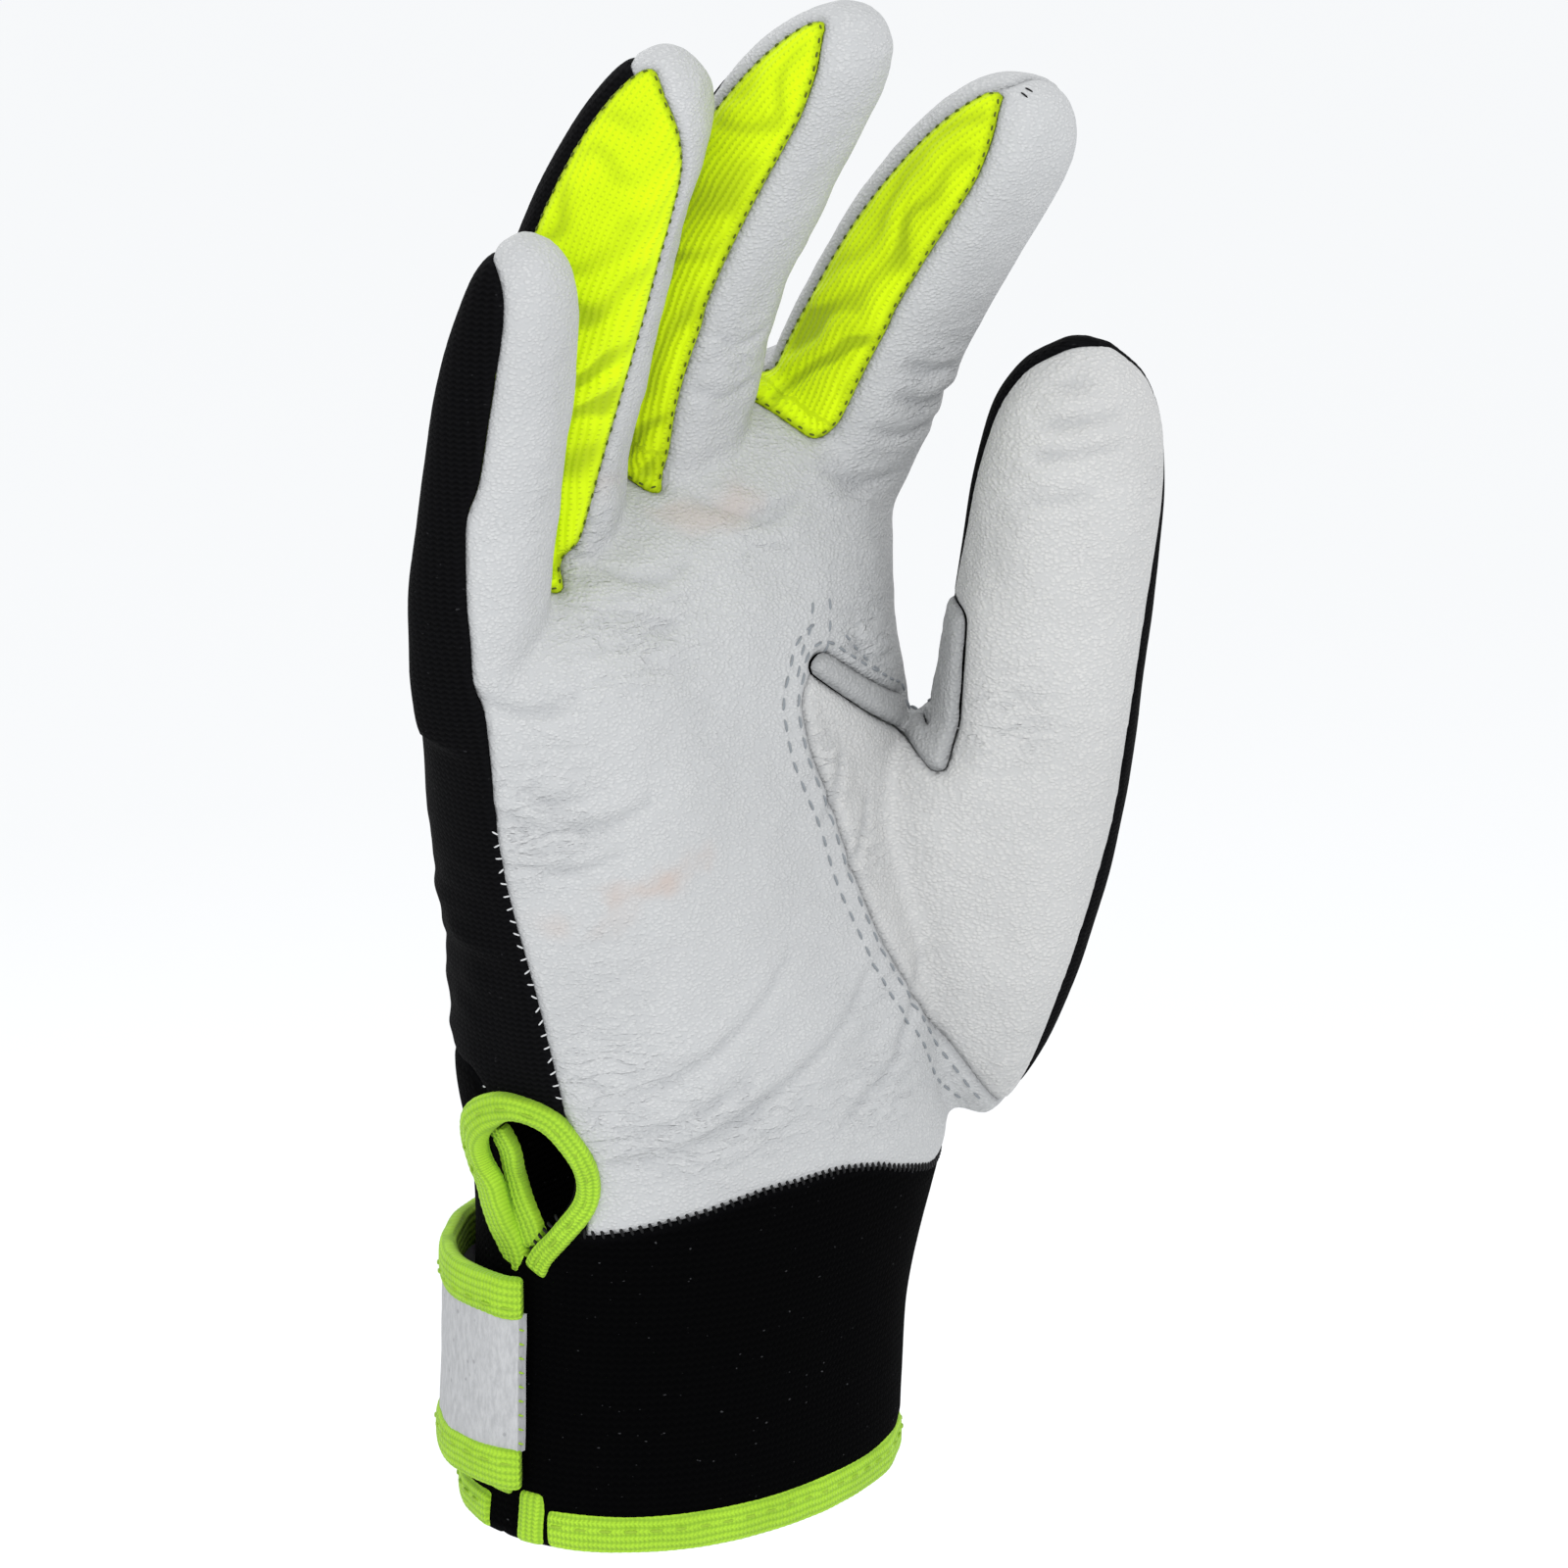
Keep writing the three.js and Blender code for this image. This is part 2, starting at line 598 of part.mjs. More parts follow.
// The side strip of a finger: side -1 faces the little finger, 1 the thumb.
function sideStrip(finger, side, start, grow) {
  const [closing, open] = [TIP_ANGLES[side < 0 ? 0 : 1], side < 0 ? finger.backFrom : finger.backTo];
  return wedge(
    fingerStationsFrom(finger, start, grow),
    (station) => (side < 0 ? frontEdge(finger, station) : seamAngle(open, closing, station)) - 0.5,
    (station) =>
      (side < 0
        ? seamAngle(open, closing, station)
        : seamAngle(finger.frontFrom + 360, closing, station)) + 0.5,
    (station) => reachOf(station) + grow,
    grow,
  );
}

// The back panel of a finger.
const fingerBack = (finger, start, grow) =>
  wedge(
    fingerStationsFrom(finger, start, grow),
    (station) => seamAngle(finger.backFrom, TIP_ANGLES[0], station),
    (station) => seamAngle(finger.backTo, TIP_ANGLES[1], station),
    (station) => reachOf(station) + grow,
    grow,
  );

// The pad panel of a finger, which also takes what the side strips have left beside it.
const fingerFront = (finger, start, grow) =>
  wedge(
    fingerStationsFrom(finger, start, grow),
    (station) => seamAngle(finger.frontFrom, TIP_ANGLES[1] - 360, station) - finger.beside[0],
    (station) => frontEdge(finger, station) + finger.beside[1],
    (station) => reachOf(station) + grow,
    grow,
  );

// Everything forward of the seams along the hand's edges.
function handFront(grow) {
  const REACH = 58;
  return loft(
    handStations().map((station) => {
      const ulnar = between(PALM_EDGES, "up", "ulnar", station.up) - grow;
      const radial = between(PALM_EDGES, "up", "radial", station.up) - grow;
      return [
        place(station, -REACH, ulnar),
        place(station, REACH, radial),
        place(station, REACH, 60),
        place(station, -REACH, 60),
      ];
    }),
  );
}

// The cuff's share of the shell: everything below its upper edge.
function cuffRegion(grow) {
  const COUNT = 40;
  const rings = [[], [], []];
  for (let i = 0; i < COUNT; i++) {
    const angle = (i * 360) / COUNT;
    const rows = [...CUFF_TOP, { ...CUFF_TOP[0], angle: 360 }];
    const up = between(rows, "angle", "up", angle) + grow;
    const [cos, sin] = [Math.cos(radians(angle)), Math.sin(radians(angle))];
    rings[0].push(vec(cos * 90, sin * 90, -10));
    rings[1].push(vec(cos * 90, sin * 90, up));
    rings[2].push(vec(cos * 2, sin * 2, up));
  }
  return loft(rings);
}

// The thumb's leather: its outline carried through from the plane of its middle line.
function thumbFrontRegion(grow) {
  const facing = radians(THUMB_FACING);
  const normal = vec(Math.sin(facing), -Math.cos(facing), 0);
  const right = vec(Math.cos(facing), Math.sin(facing), 0);
  const outline = THUMB_OUTLINE.map(({ across, up }) => [across, up]);
  const drawn = prism(
    offsetOutline(outline, grow), -45, 60, vec(0, 0, 0), right, vec(0, 0, 1), normal,
  );
  return drawn.intersect(thumbSlab(-90, 40, -1.5 - grow, 70));
}

// A slab along the thumb, between two sides and two depths.
const thumbSlab = (inner, outer, back, front) =>
  loft(
    digitStations(THUMB, THUMB_SECTIONS, 4).map((station) => [
      place(station, inner, back),
      place(station, outer, back),
      place(station, outer, front),
      place(station, inner, front),
    ]),
  );

// The thumb's back: behind its middle line, and only its outer part below the crotch.
function thumbBackRegion(grow) {
  const stations = digitStations(THUMB, THUMB_SECTIONS, 4).filter((row) => row.along >= 0.07);
  return loft(
    stations.map((station) => {
      const inner = station.along < 0.5 ? -6 : -20;
      return [
        place(station, inner - grow, -30),
        place(station, 30, -30),
        place(station, 30, 2),
        place(station, inner - grow, 2),
      ];
    }),
  ).intersect(thumbForm(0.6 + grow));
}

// The strips' points in the palm, between two fingers. across: towards the thumb.
const STRIPS = [
  {
    name: "fourchette_index_middle", fingers: ["index", "middle"], starts: [0.3, 0.3],
    point: [[9.5, 166.6], [10.4, 159.6], [13.5, 155.1], [16.6, 152.8], [18.8, 152.2], [19.7, 154.6], [19.5, 166.6]],
  },
  {
    name: "fourchette_middle_ring", fingers: ["middle", "ring"], starts: [0.25, 0.27],
    point: [[-18, 164.6], [-17.4, 158.1], [-15, 151.1], [-13.3, 149], [-11.2, 150.6], [-9.8, 157.6], [-8, 164.6]],
  },
  {
    name: "fourchette_ring_pinky", fingers: ["ring", "pinky"], starts: [0.2, 0.3],
    point: [[-35.5, 158.6], [-34.6, 144.6], [-33.6, 138.6], [-31.6, 137.4], [-29.9, 139.6], [-28.8, 146.6], [-27, 158.6]],
  },
];

// A strip: both fingers' sides, the point through palm and back, and the floor between the fingers.
function stripRegion(strip, grow) {
  const axes = [vec(0, 0, 0), vec(1, 0, 0), vec(0, 0, 1), vec(0, -1, 0)];
  const [left, right] = [strip.point[0], strip.point.at(-1)];
  const bottom = Math.min(...strip.point.map(([, up]) => up)) - FLOOR_STEP;
  const floor = [
    [left[0] - FLOOR_STEP, left[1]],
    [left[0] - FLOOR_STEP, bottom],
    [right[0] + FLOOR_STEP, bottom],
    [right[0] + FLOOR_STEP, right[1]],
  ];
  return joinAll([
    sideStrip(FINGERS[strip.fingers[0]], -1, strip.starts[0], grow),
    sideStrip(FINGERS[strip.fingers[1]], 1, strip.starts[1], grow),
    prism(offsetOutline(strip.point, grow), -45, 45, ...axes),
    prism(offsetOutline(floor, grow), -12 - grow, 6.5 + grow, ...axes),
  ]);
}

// The folded welt over the thumb's crotch: a band along the marked edge of the thumb's outline.
function weltRegion(grow) {
  const line = THUMB_OUTLINE.filter((row) => row.welt).map(({ across, up }) => [across, up]);
  line.at(-1)[1] += grow;
  line[0][0] -= grow;
  const half = WELT_WIDTH / 2 + grow;
  const sides = [1, -1].map((side) =>
    line.map(([x, y], i) => {
      const before = line[Math.max(i - 1, 0)];
      const after = line[Math.min(i + 1, line.length - 1)];
      const normal = new THREE.Vector2(before[1] - after[1], after[0] - before[0]).normalize();
      return [x + normal.x * side * half, y + normal.y * side * half];
    }),
  );
  const facing = radians(THUMB_FACING);
  const normal = vec(Math.sin(facing), -Math.cos(facing), 0);
  const right = vec(Math.cos(facing), Math.sin(facing), 0);
  const band = prism([...sides[0], ...sides[1].reverse()], -30, 60, vec(0, 0, 0), right, vec(0, 0, 1), normal);
  return band.intersect(thumbSlab(-90, 40, 1.5 - grow, 70));
}

// Assembly

const glove = new THREE.Group();

function toGeometry(solid) {
  const data = solid.getMesh();
  const geometry = new THREE.BufferGeometry();
  geometry.setAttribute("position", new THREE.BufferAttribute(data.vertProperties, 3));
  geometry.setIndex(new THREE.BufferAttribute(data.triVerts, 1));
  return geometry;
}

// The largest of a solid's loose bodies, without slivers under a hundredth of a millimetre.
const largest = (solid) =>
  toSolid(toGeometry(solid.asOriginal().simplify(0.028)), 1e-3)
    .decompose()
    .reduce((best, body) => (body.volume() > best.volume() ? body : best));

function addPiece(solid, name, color) {
  const geometry = toGeometry(largest(solid));
  geometry.computeVertexNormals();
  const mesh = new THREE.Mesh(geometry, new THREE.MeshStandardMaterial({ color }));
  mesh.name = name;
  glove.add(mesh);
}

const LEATHER = 0xd9dcde;
const KNIT = 0x17181a;
const YELLOW = 0xd8f014;
const LIME = 0xb4e03a;
const STRAP_GREY = 0xcbcccd;

const hemCutter = toSolid(
  new THREE.BoxGeometry(200, 200, 20).translate(0, 0, -10 + HEM_BINDING_WIDTH + SEAM_GAP),
);
const hollow = innerForm();
let rest = outerForm(0).subtract(hollow).subtract(hemCutter).subtract(slitCutter(SEAM_GAP));

const welt = weltRegion(0).intersect(outerForm(WELT_PROUD)).subtract(hollow);
addPiece(welt, "crotch_welt", LEATHER);
rest = rest.subtract(weltRegion(SEAM_GAP)).subtract(weltRegion(0));

// Takes a region out of the shell as a piece, and leaves a seam's gap around it.
function takePanel(region, name, color) {
  const panel = rest.intersect(region(0));
  rest = rest.subtract(region(SEAM_GAP)).subtract(region(0));
  addPiece(panel, name, color);
}

takePanel(cuffRegion, "cuff", KNIT);
takePanel(thumbFrontRegion, "thumb_leather", LEATHER);
takePanel(thumbBackRegion, "thumb_back", KNIT);
for (const strip of STRIPS) takePanel((grow) => stripRegion(strip, grow), strip.name, YELLOW);
takePanel((grow) => fingerBack(FINGERS.index, 0.05, grow), "index_back", LEATHER);
takePanel(
  (grow) =>
    joinAll([
      handFront(grow),
      ...FINGER_NAMES.map((name) => fingerFront(FINGERS[name], 0.12, grow)),
      ...FINGER_NAMES.map((name) => fingerTip(FINGERS[name], grow)),
    ]),
  "palm_leather",
  LEATHER,
);
addPiece(rest, "back_knit", KNIT);

addPiece(sweep(slitStops(), BINDING_THICKNESS, SLIT_BINDING_WIDTH), "slit_binding", LIME);

// The short binding at the slit's front corner, under the strap.
const cornerStops = [SLIT_CORNER.bottom, SLIT_CORNER.top].map((up) => {
  const { point, outwards } = ulnarPlace(SLIT_CORNER.forward, up, SLIT_CORNER.out);
  return { point, out: outwards, wide: vec(0, 0, 1).cross(outwards) };
});
addPiece(sweep(cornerStops, BINDING_THICKNESS, SLIT_BINDING_WIDTH), "slit_corner_binding", LIME);

// The hem's binding runs from the slit's front corner round the thumb's side to its back corner.
const hemStops = [];
for (let i = 0; i <= 26; i++) {
  const angle = 188.7 + (i * 342) / 26;
  const { point, outwards } = cuffPlace(angle % 360, HEM_BINDING_WIDTH / 2, -CUFF_WALL / 2);
  hemStops.push({ point, out: outwards, wide: vec(0, 0, 1) });
}
addPiece(sweep(hemStops, BINDING_THICKNESS, HEM_BINDING_WIDTH), "hem_binding", LIME);

// A band along the strap's path between two heights, leaning in towards its top.
function strapBand(bottom, top, thickness) {
  const height = (bottom + top) / 2;
  const stops = STRAP_PATH.map((row) => {
    const lean = row.angle > STRAP_LEANS_FROM ? STRAP_LEAN : 0;
    const out = row.out - lean * (height - STRAP_BOTTOM);
    const [low, high] = [STRAP_BOTTOM, STRAP_TOP].map((up) => cuffPlace(row.angle, up, out));
    const { point, outwards } = low.point.setZ(0).length() > high.point.setZ(0).length() ? low : high;
    const wide = vec(0, 0, 1).addScaledVector(outwards, -lean).normalize();
    return { point: point.setZ(height), out: outwards, wide };
  });
  return sweep(stops, thickness, top - bottom);
}
const coreBottom = STRAP_BOTTOM + STRAP_BINDING_WIDTH;
const coreTop = STRAP_TOP - STRAP_BINDING_WIDTH;
addPiece(strapBand(coreBottom + SEAM_GAP, coreTop - SEAM_GAP, STRAP_THICKNESS), "strap", STRAP_GREY);
addPiece(strapBand(STRAP_BOTTOM, coreBottom, STRAP_BINDING_THICKNESS), "strap_binding_bottom", LIME);
addPiece(strapBand(coreTop, STRAP_TOP, STRAP_BINDING_THICKNESS), "strap_binding_top", LIME);

export default glove;
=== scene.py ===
import math

import bpy
import numpy as np
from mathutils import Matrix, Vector, noise
from mathutils.bvhtree import BVHTree
from mathutils.kdtree import KDTree


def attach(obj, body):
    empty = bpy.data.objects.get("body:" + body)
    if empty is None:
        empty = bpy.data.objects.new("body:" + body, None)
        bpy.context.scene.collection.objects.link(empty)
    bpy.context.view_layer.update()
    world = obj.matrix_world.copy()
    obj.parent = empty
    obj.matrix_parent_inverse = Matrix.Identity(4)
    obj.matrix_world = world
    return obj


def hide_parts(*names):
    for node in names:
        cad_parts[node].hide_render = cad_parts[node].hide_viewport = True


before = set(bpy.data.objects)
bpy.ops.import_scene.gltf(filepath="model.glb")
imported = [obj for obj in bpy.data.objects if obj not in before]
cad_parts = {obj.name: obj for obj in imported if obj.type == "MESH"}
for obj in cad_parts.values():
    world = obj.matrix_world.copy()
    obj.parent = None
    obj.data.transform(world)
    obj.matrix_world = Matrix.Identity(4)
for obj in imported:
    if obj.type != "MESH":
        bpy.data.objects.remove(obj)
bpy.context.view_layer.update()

bl_info = {
    "name": "Goatskin Work Glove",
    "version": (1, 0, 0),
    "blender": (4, 5, 0),
    "location": "View3D > Sidebar > Glove",
    "description": "Dresses the solids of a goatskin work glove in leather, knit, mesh and binding tape",
    "category": "Object",
}

MM = 0.001

# Form tables, in millimetres and shares, the same as the solids were made from

HAND_HEIGHT = 150.6
PALM_WIDTH, PALM_DEPTH = 93.0, 43.0
CUFF_WIDTH, CUFF_DEPTH = 72.0, 54.0
HAND_SQUARENESS = 2.15

# The hand: up, 0 where it is sized by the cuff and 1 by the palm, width, depth, then the middle's
# place across and forward, the palm's arch and how much the row rises across
HAND_SECTIONS = [
    (0.0, 0, 1.0, 1.0, 0.0, 0.0, 0.0, 0.0),
    (0.137, 0, 0.99, 0.985, 0.022, 0.0, 0.0, 0.0),
    (0.263, 0, 1.07, 0.985, 0.06, 0.01, 0.0, 0.0),
    (0.347, 0, 1.17, 0.97, 0.086, 0.01, 0.0, 0.0),
    (0.42, 1, 0.94, 1.2, 0.062, 0.02, 0.0, 0.0),
    (0.526, 1, 0.95, 1.16, 0.042, 0.0, 0.03, 0.0),
    (0.653, 1, 0.945, 1.08, 0.006, -0.03, 0.06, 0.01),
    (0.768, 1, 0.92, 1.02, -0.036, -0.06, 0.1, 0.03),
    (0.86, 1, 0.93, 0.96, -0.05, -0.07, 0.12, 0.06),
    (0.93, 1, 0.96, 0.84, -0.055, -0.1, 0.13, 0.085),
    (0.975, 1, 0.93, 0.58, -0.055, -0.1, 0.13, 0.1),
    (1.0, 1, 0.86, 0.22, -0.055, -0.1, 0.13, 0.1),
]

# Each digit: length, width, depth, place of its root (across, forward, up), lean, turn and curls
# in degrees. The fingers' seams are in degrees round them from the thumb's side over the pad.
DIGITS = {
    "index": dict(
        length=83, width=23, depth=23, root=(28.7, -1.5, 132.6), lean=4.9, turn=-8,
        curl=(13.7, 50), front=(38, 148, 138), back=(206, 397.5),
    ),
    "middle": dict(
        length=96.5, width=21.6, depth=21.2, root=(0.5, -5.9, 130.6), lean=1.4, turn=-4,
        curl=(0.5, 51), front=(26, 138, 134), back=(208, 332),
    ),
    "ring": dict(
        length=88.2, width=21.4, depth=22, root=(-22.7, -5.2, 126.6), lean=-3.5, turn=22,
        curl=(-1.6, 32.5), front=(18, 140, 109), back=(218, 330),
    ),
    "pinky": dict(
        length=71.5, width=18.4, depth=17.8, root=(-42.4, -0.5, 118.6), lean=-4.7, turn=18,
        curl=(5.2, 15.6), front=(30, 156, 169), back=(175, 332),
    ),
    "thumb": dict(
        length=122, width=28, depth=27, root=(47, 17.9, 46.6), lean=6.4, turn=-50,
        curl=(10.8, 8.3),
    ),
}
FINGERS = ("index", "middle", "ring", "pinky")
FINGER_SQUARENESS, THUMB_SQUARENESS = 2.5, 2.3

# The digits: along, half widths towards the little finger and away from it, depth. Then, for the
# fingers, how much of the yellow strip's width is left
FINGER_SECTIONS = [
    (0.0, 0.74, 0.74, 0.74, 1),
    (0.15, 0.93, 0.93, 0.93, 1),
    (0.3, 1.0, 1.0, 1.0, 1),
    (0.45, 0.98, 0.98, 1.0, 1),
    (0.6, 0.97, 0.97, 0.98, 1),
    (0.74, 0.92, 0.92, 0.91, 0.98),
    (0.85, 0.84, 0.84, 0.81, 0.92),
    (0.93, 0.7, 0.7, 0.65, 0.7),
    (0.98, 0.48, 0.48, 0.42, 0.2),
    (1.0, 0.2, 0.2, 0.18, 0),
]
THUMB_SECTIONS = [
    (0.02, 0.25, 0.05, 0.4),
    (0.07, 1.0, 0.36, 0.8),
    (0.16, 1.5, 0.66, 1.0),
    (0.28, 1.9, 0.86, 1.1),
    (0.4, 2.0, 0.98, 1.12),
    (0.47, 1.6, 1.02, 1.08),
    (0.53, 1.05, 1.02, 1.02),
    (0.65, 1.0, 1.0, 1.0),
    (0.8, 0.97, 0.97, 0.95),
    (0.9, 0.86, 0.86, 0.82),
    (0.96, 0.64, 0.64, 0.6),
    (1.0, 0.22, 0.22, 0.2),
]

# Where the palm's leather meets the back, forward of the middle: up, little finger's side, thumb's
PALM_EDGES = [
    (0.0, 0, 0),
    (0.347, 12.2, -4),
    (0.42, 11.6, -4),
    (0.526, 10.5, -4),
    (0.653, 9, -4),
    (0.768, 10, 2),
    (0.86, 11, 8),
    (0.93, 11.5, 11),
    (1.0, 12, 12),
]

# How high the cuff reaches, by the angle from the thumb's side over the back
CUFF_TOP = [
    (0, 45.6),
    (35, 56.6),
    (70, 67.6),
    (120, 69.6),
    (172, 69.6),
    (184, 58.6),
    (192, 46.2),
    (215, 48.4),
    (240, 50.6),
    (260, 50.6),
    (280, 49.1),
    (300, 46.1),
    (320, 43.6),
    (340, 44.1),
    (360, 45.6),
]

# The thumb leather's outline on the upright plane that its pad faces: across, up, under the welt
THUMB_OUTLINE = [
    (56, 38.6, 0),
    (43.8, 54.7, 0),
    (36.2, 66.4, 0),
    (28.9, 81.7, 0),
    (24.6, 93.2, 0),
    (21.8, 102.7, 0),
    (19.1, 110.2, 0),
    (17.7, 117.2, 0),
    (18.4, 120.8, 0),
    (20.2, 122, 1),
    (28.8, 113.4, 1),
    (36.6, 105.9, 1),
    (38.1, 111.6, 1),
    (38.9, 126.4, 1),
    (40.2, 147, 0),
    (43.4, 167.6, 0),
    (52, 183.6, 0),
    (95, 183.6, 0),
    (95, 38.6, 0),
]
THUMB_FACING = -50

# How far the black reaches round the thumb's outer side: along the thumb, forward
THUMB_OUTER = [
    (0.0, 10), (0.13, 10.2), (0.22, 9.8), (0.3, 9.2), (0.39, 8.4), (0.47, 7.5), (0.6, 6.4),
    (0.72, 5.4), (0.82, 3.5), (0.9, 0), (1.0, -1.5),
]

# Small places between the fingers that are leather too: centre and reach
WEBS = [(31.5, -15.5, 114.5, 7), (13, -5.2, 153.5, 6.5), (-12.5, -3.5, 148, 6)]
WELT_WIDTH = 3.2
# The thumb's crotch, kept clear of the knit: place and reach
CROTCH = (33.8, -16.8, 110.4)
CROTCH_REACH = 4.6

# The yellow strips: the two fingers, where each side starts, and the point's outline in the palm
STRIPS = {
    "fourchette_index_middle": (
        ("index", "middle"), (0.3, 0.3),
        [(7, 169), (10, 163.4), (13.6, 158.4), (15.1, 154.6), (16.8, 151.9), (18.2, 151), (19.3, 153),
         (19.6, 158), (19.7, 169)],
    ),
    "fourchette_middle_ring": (
        ("middle", "ring"), (0.25, 0.34),
        [(-18, 168), (-16, 161.5), (-12.5, 156), (-10.6, 151.5), (-9.8, 148), (-8.7, 146.6),
         (-7.6, 148), (-7.0, 152), (-7.6, 158.5), (-7.7, 165), (-7.4, 172), (-12, 172)],
    ),
    "fourchette_ring_pinky": (
        ("ring", "pinky"), (0.2, 0.3),
        [(-35.5, 158.6), (-34.6, 144.6), (-33.6, 138.6), (-31.6, 137.4), (-29.9, 139.6),
         (-28.8, 146.6), (-27, 158.6)],
    ),
}
TIP_START, STRIP_STOP = 0.955, 0.985
TIP_ANGLES = (214, 326)
# Degrees by which a pad reaches under the strips beside it
PAD_OVERLAP = 14

# The slit's bound edge, from the strap's corner round the loop to the hem: forward, up, stand-off
SLIT_PATH = [
    (1.8, 39.9, -0.7),
    (3.2, 42.4, -0.6),
    (6.4, 46.1, -0.4),
    (10.0, 51.1, -0.1),
    (11.2, 56.6, 0.1),
    (10.4, 61.1, 0.3),
    (8.0, 64.6, 0.6),
    (3.2, 65.8, 0.9),
    (-1.4, 64, 1.1),
    (-4.8, 60, 1.4),
    (-6.2, 55.2, 1.3),
    (-5.6, 50.6, 0.6),
    (-4.6, 46.1, 0.0),
    (-3.4, 41.6, -1.0),
    (-3.4, 36.6, -1.3),
    (-3.4, 20.6, -1.3),
    (-3.4, 6.2, -1.3),
]
SLIT_FRONT_EDGE = 1.6
SLIT_BINDING_WIDTH = 4.4
SLIT_CORNER = (2.6, 0.2, 7.5, -1.0)
BINDING_THICKNESS = 3.2
HEM_BINDING_WIDTH = 5.6

# The strap from its sewn end over the slit: angle round the wrist, stand-off from the cuff
STRAP_PATH = [
    (182.1, 0.9),
    (178.6, 2.1),
    (170, 2.4),
    (160, 2.7),
    (150, 2.7),
    (140, 2.4),
    (130, 2.0),
    (118, 1.8),
    (90, 1.8),
    (66, 1.8),
]
STRAP_BOTTOM, STRAP_TOP, STRAP_BINDING_WIDTH = 8.0, 39.4, 6.2
STRAP_THICKNESS, STRAP_BINDING_THICKNESS = 1.8, 2.8
STRAP_LEAN, STRAP_LEANS_FROM = 0.03, 135

# Small sums


def smooth_rows(rows, at):
    """The table's other columns at places of its first one, on curves that never overshoot."""
    table = np.array(rows, float)
    x, y = table[:, 0], table[:, 1:]
    step = np.diff(x)[:, None]
    slope = np.diff(y, axis=0) / step
    tangent = np.zeros_like(y)
    same = slope[:-1] * slope[1:] > 0
    both = 2 * slope[:-1] * slope[1:] / np.where(same, slope[:-1] + slope[1:], 1)
    tangent[1:-1] = np.where(same, both, 0)
    tangent[0], tangent[-1] = slope[0], slope[-1]
    at = np.clip(np.asarray(at, float), x[0], x[-1])
    row = np.clip(np.searchsorted(x, at, side="right") - 1, 0, len(x) - 2)
    t = ((at - x[row]) / step[row, 0])[:, None]
    t2, t3 = t * t, t * t * t
    return (
        (2 * t3 - 3 * t2 + 1) * y[row]
        + (t3 - 2 * t2 + t) * step[row] * tangent[row]
        + (3 * t2 - 2 * t3) * y[row + 1]
        + (t3 - t2) * step[row] * tangent[row + 1]
    )


def smooth_step(x, low, high):
    t = np.clip((x - low) / (high - low), 0, 1)
    return t * t * (3 - 2 * t)


def soft_max(a, b, width):
    share = np.clip(0.5 + 0.5 * (a - b) / width, 0, 1)
    return b + (a - b) * share + width * share * (1 - share)


def lerp(a, b, share):
    return a + (b - a) * share


def unit(v):
    return v / np.maximum(np.linalg.norm(v, axis=-1, keepdims=True), 1e-9)


def dots(a, b):
    """The dot product of each pair of rows."""
    return np.einsum("ij,ij->i", a, b)


def run_along(line):
    """How far along a line of points each of them lies."""
    return np.concatenate([[0], np.cumsum(np.linalg.norm(np.diff(line, axis=0), axis=1))])


def places_at(at, run, line):
    """Places on a line of points at some distances along it."""
    return np.stack([np.interp(at, run, line[:, i]) for i in range(3)], 1)


def squared_circle(sides, squareness):
    """Places round a circle that its squareness presses towards a square."""
    angle = np.arange(sides) * 2 * math.pi / sides
    return [np.sign(f) * np.abs(f) ** (2 / squareness) for f in (np.cos(angle), np.sin(angle))]


def nearest(points, targets):
    """The nearest target's number and its distance for each point."""
    tree = KDTree(len(targets))
    for i, p in enumerate(targets):
        tree.insert(Vector(p), i)
    tree.balance()
    found = [tree.find(Vector(p)) for p in points]
    return np.array([f[1] for f in found], int), np.array([f[2] for f in found])


def polygon_distance(points, outline):
    """How far inside an outline each flat point lies, below zero outside."""
    outline = np.array(outline, float)
    best = np.full(len(points), 1e9)
    inside = np.zeros(len(points), bool)
    for a, b in zip(outline, np.roll(outline, -1, axis=0)):
        edge = b - a
        share = np.clip((points - a) @ edge / (edge @ edge), 0, 1)
        best = np.minimum(best, np.linalg.norm(points - a - share[:, None] * edge, axis=1))
        crosses = (a[1] > points[:, 1]) != (b[1] > points[:, 1])
        at = a[0] + (points[:, 1] - a[1]) / (edge[1] if edge[1] else 1e-9) * edge[0]
        inside ^= crosses & (points[:, 0] < at)
    return np.where(inside, best, -best)


def line_distance(points, line):
    """How far each point lies from a line of points, and how far along the line."""
    line = np.array(line, float)
    best, along, run = np.full(len(points), 1e9), np.zeros(len(points)), 0.0
    for a, b in zip(line[:-1], line[1:]):
        edge = b - a
        share = np.clip((points - a) @ edge / (edge @ edge), 0, 1)
        far = np.linalg.norm(points - a - share[:, None] * edge, axis=1)
        nearer = far < best
        best = np.where(nearer, far, best)
        along = np.where(nearer, run + share * np.linalg.norm(edge), along)
        run += np.linalg.norm(edge)
    return best, along


# Stations along the hand and the digits


def hand_stations(heights):
    sizes = []
    for row in HAND_SECTIONS:
        width, depth = (PALM_WIDTH, PALM_DEPTH) if row[1] else (CUFF_WIDTH, CUFF_DEPTH)
        half_width = row[2] * width / 2
        sizes.append(
            (row[0], half_width, row[3] * depth / 2, row[4] * PALM_WIDTH, -row[5] * PALM_DEPTH,
             row[6] * PALM_DEPTH, row[7] * HAND_HEIGHT / half_width)
        )
    values = smooth_rows(sizes, heights)
    zeros = np.zeros(len(heights))
    return dict(
        centre=np.stack([values[:, 2], values[:, 3], np.asarray(heights) * HAND_HEIGHT], 1),
        across=np.stack([zeros + 1, zeros, values[:, 5]], 1),
        palmar=np.tile([0.0, -1.0, 0.0], (len(heights), 1)),
        inner=values[:, 0],
        outer=values[:, 0],
        half_depth=values[:, 1],
        arch=values[:, 4],
    )


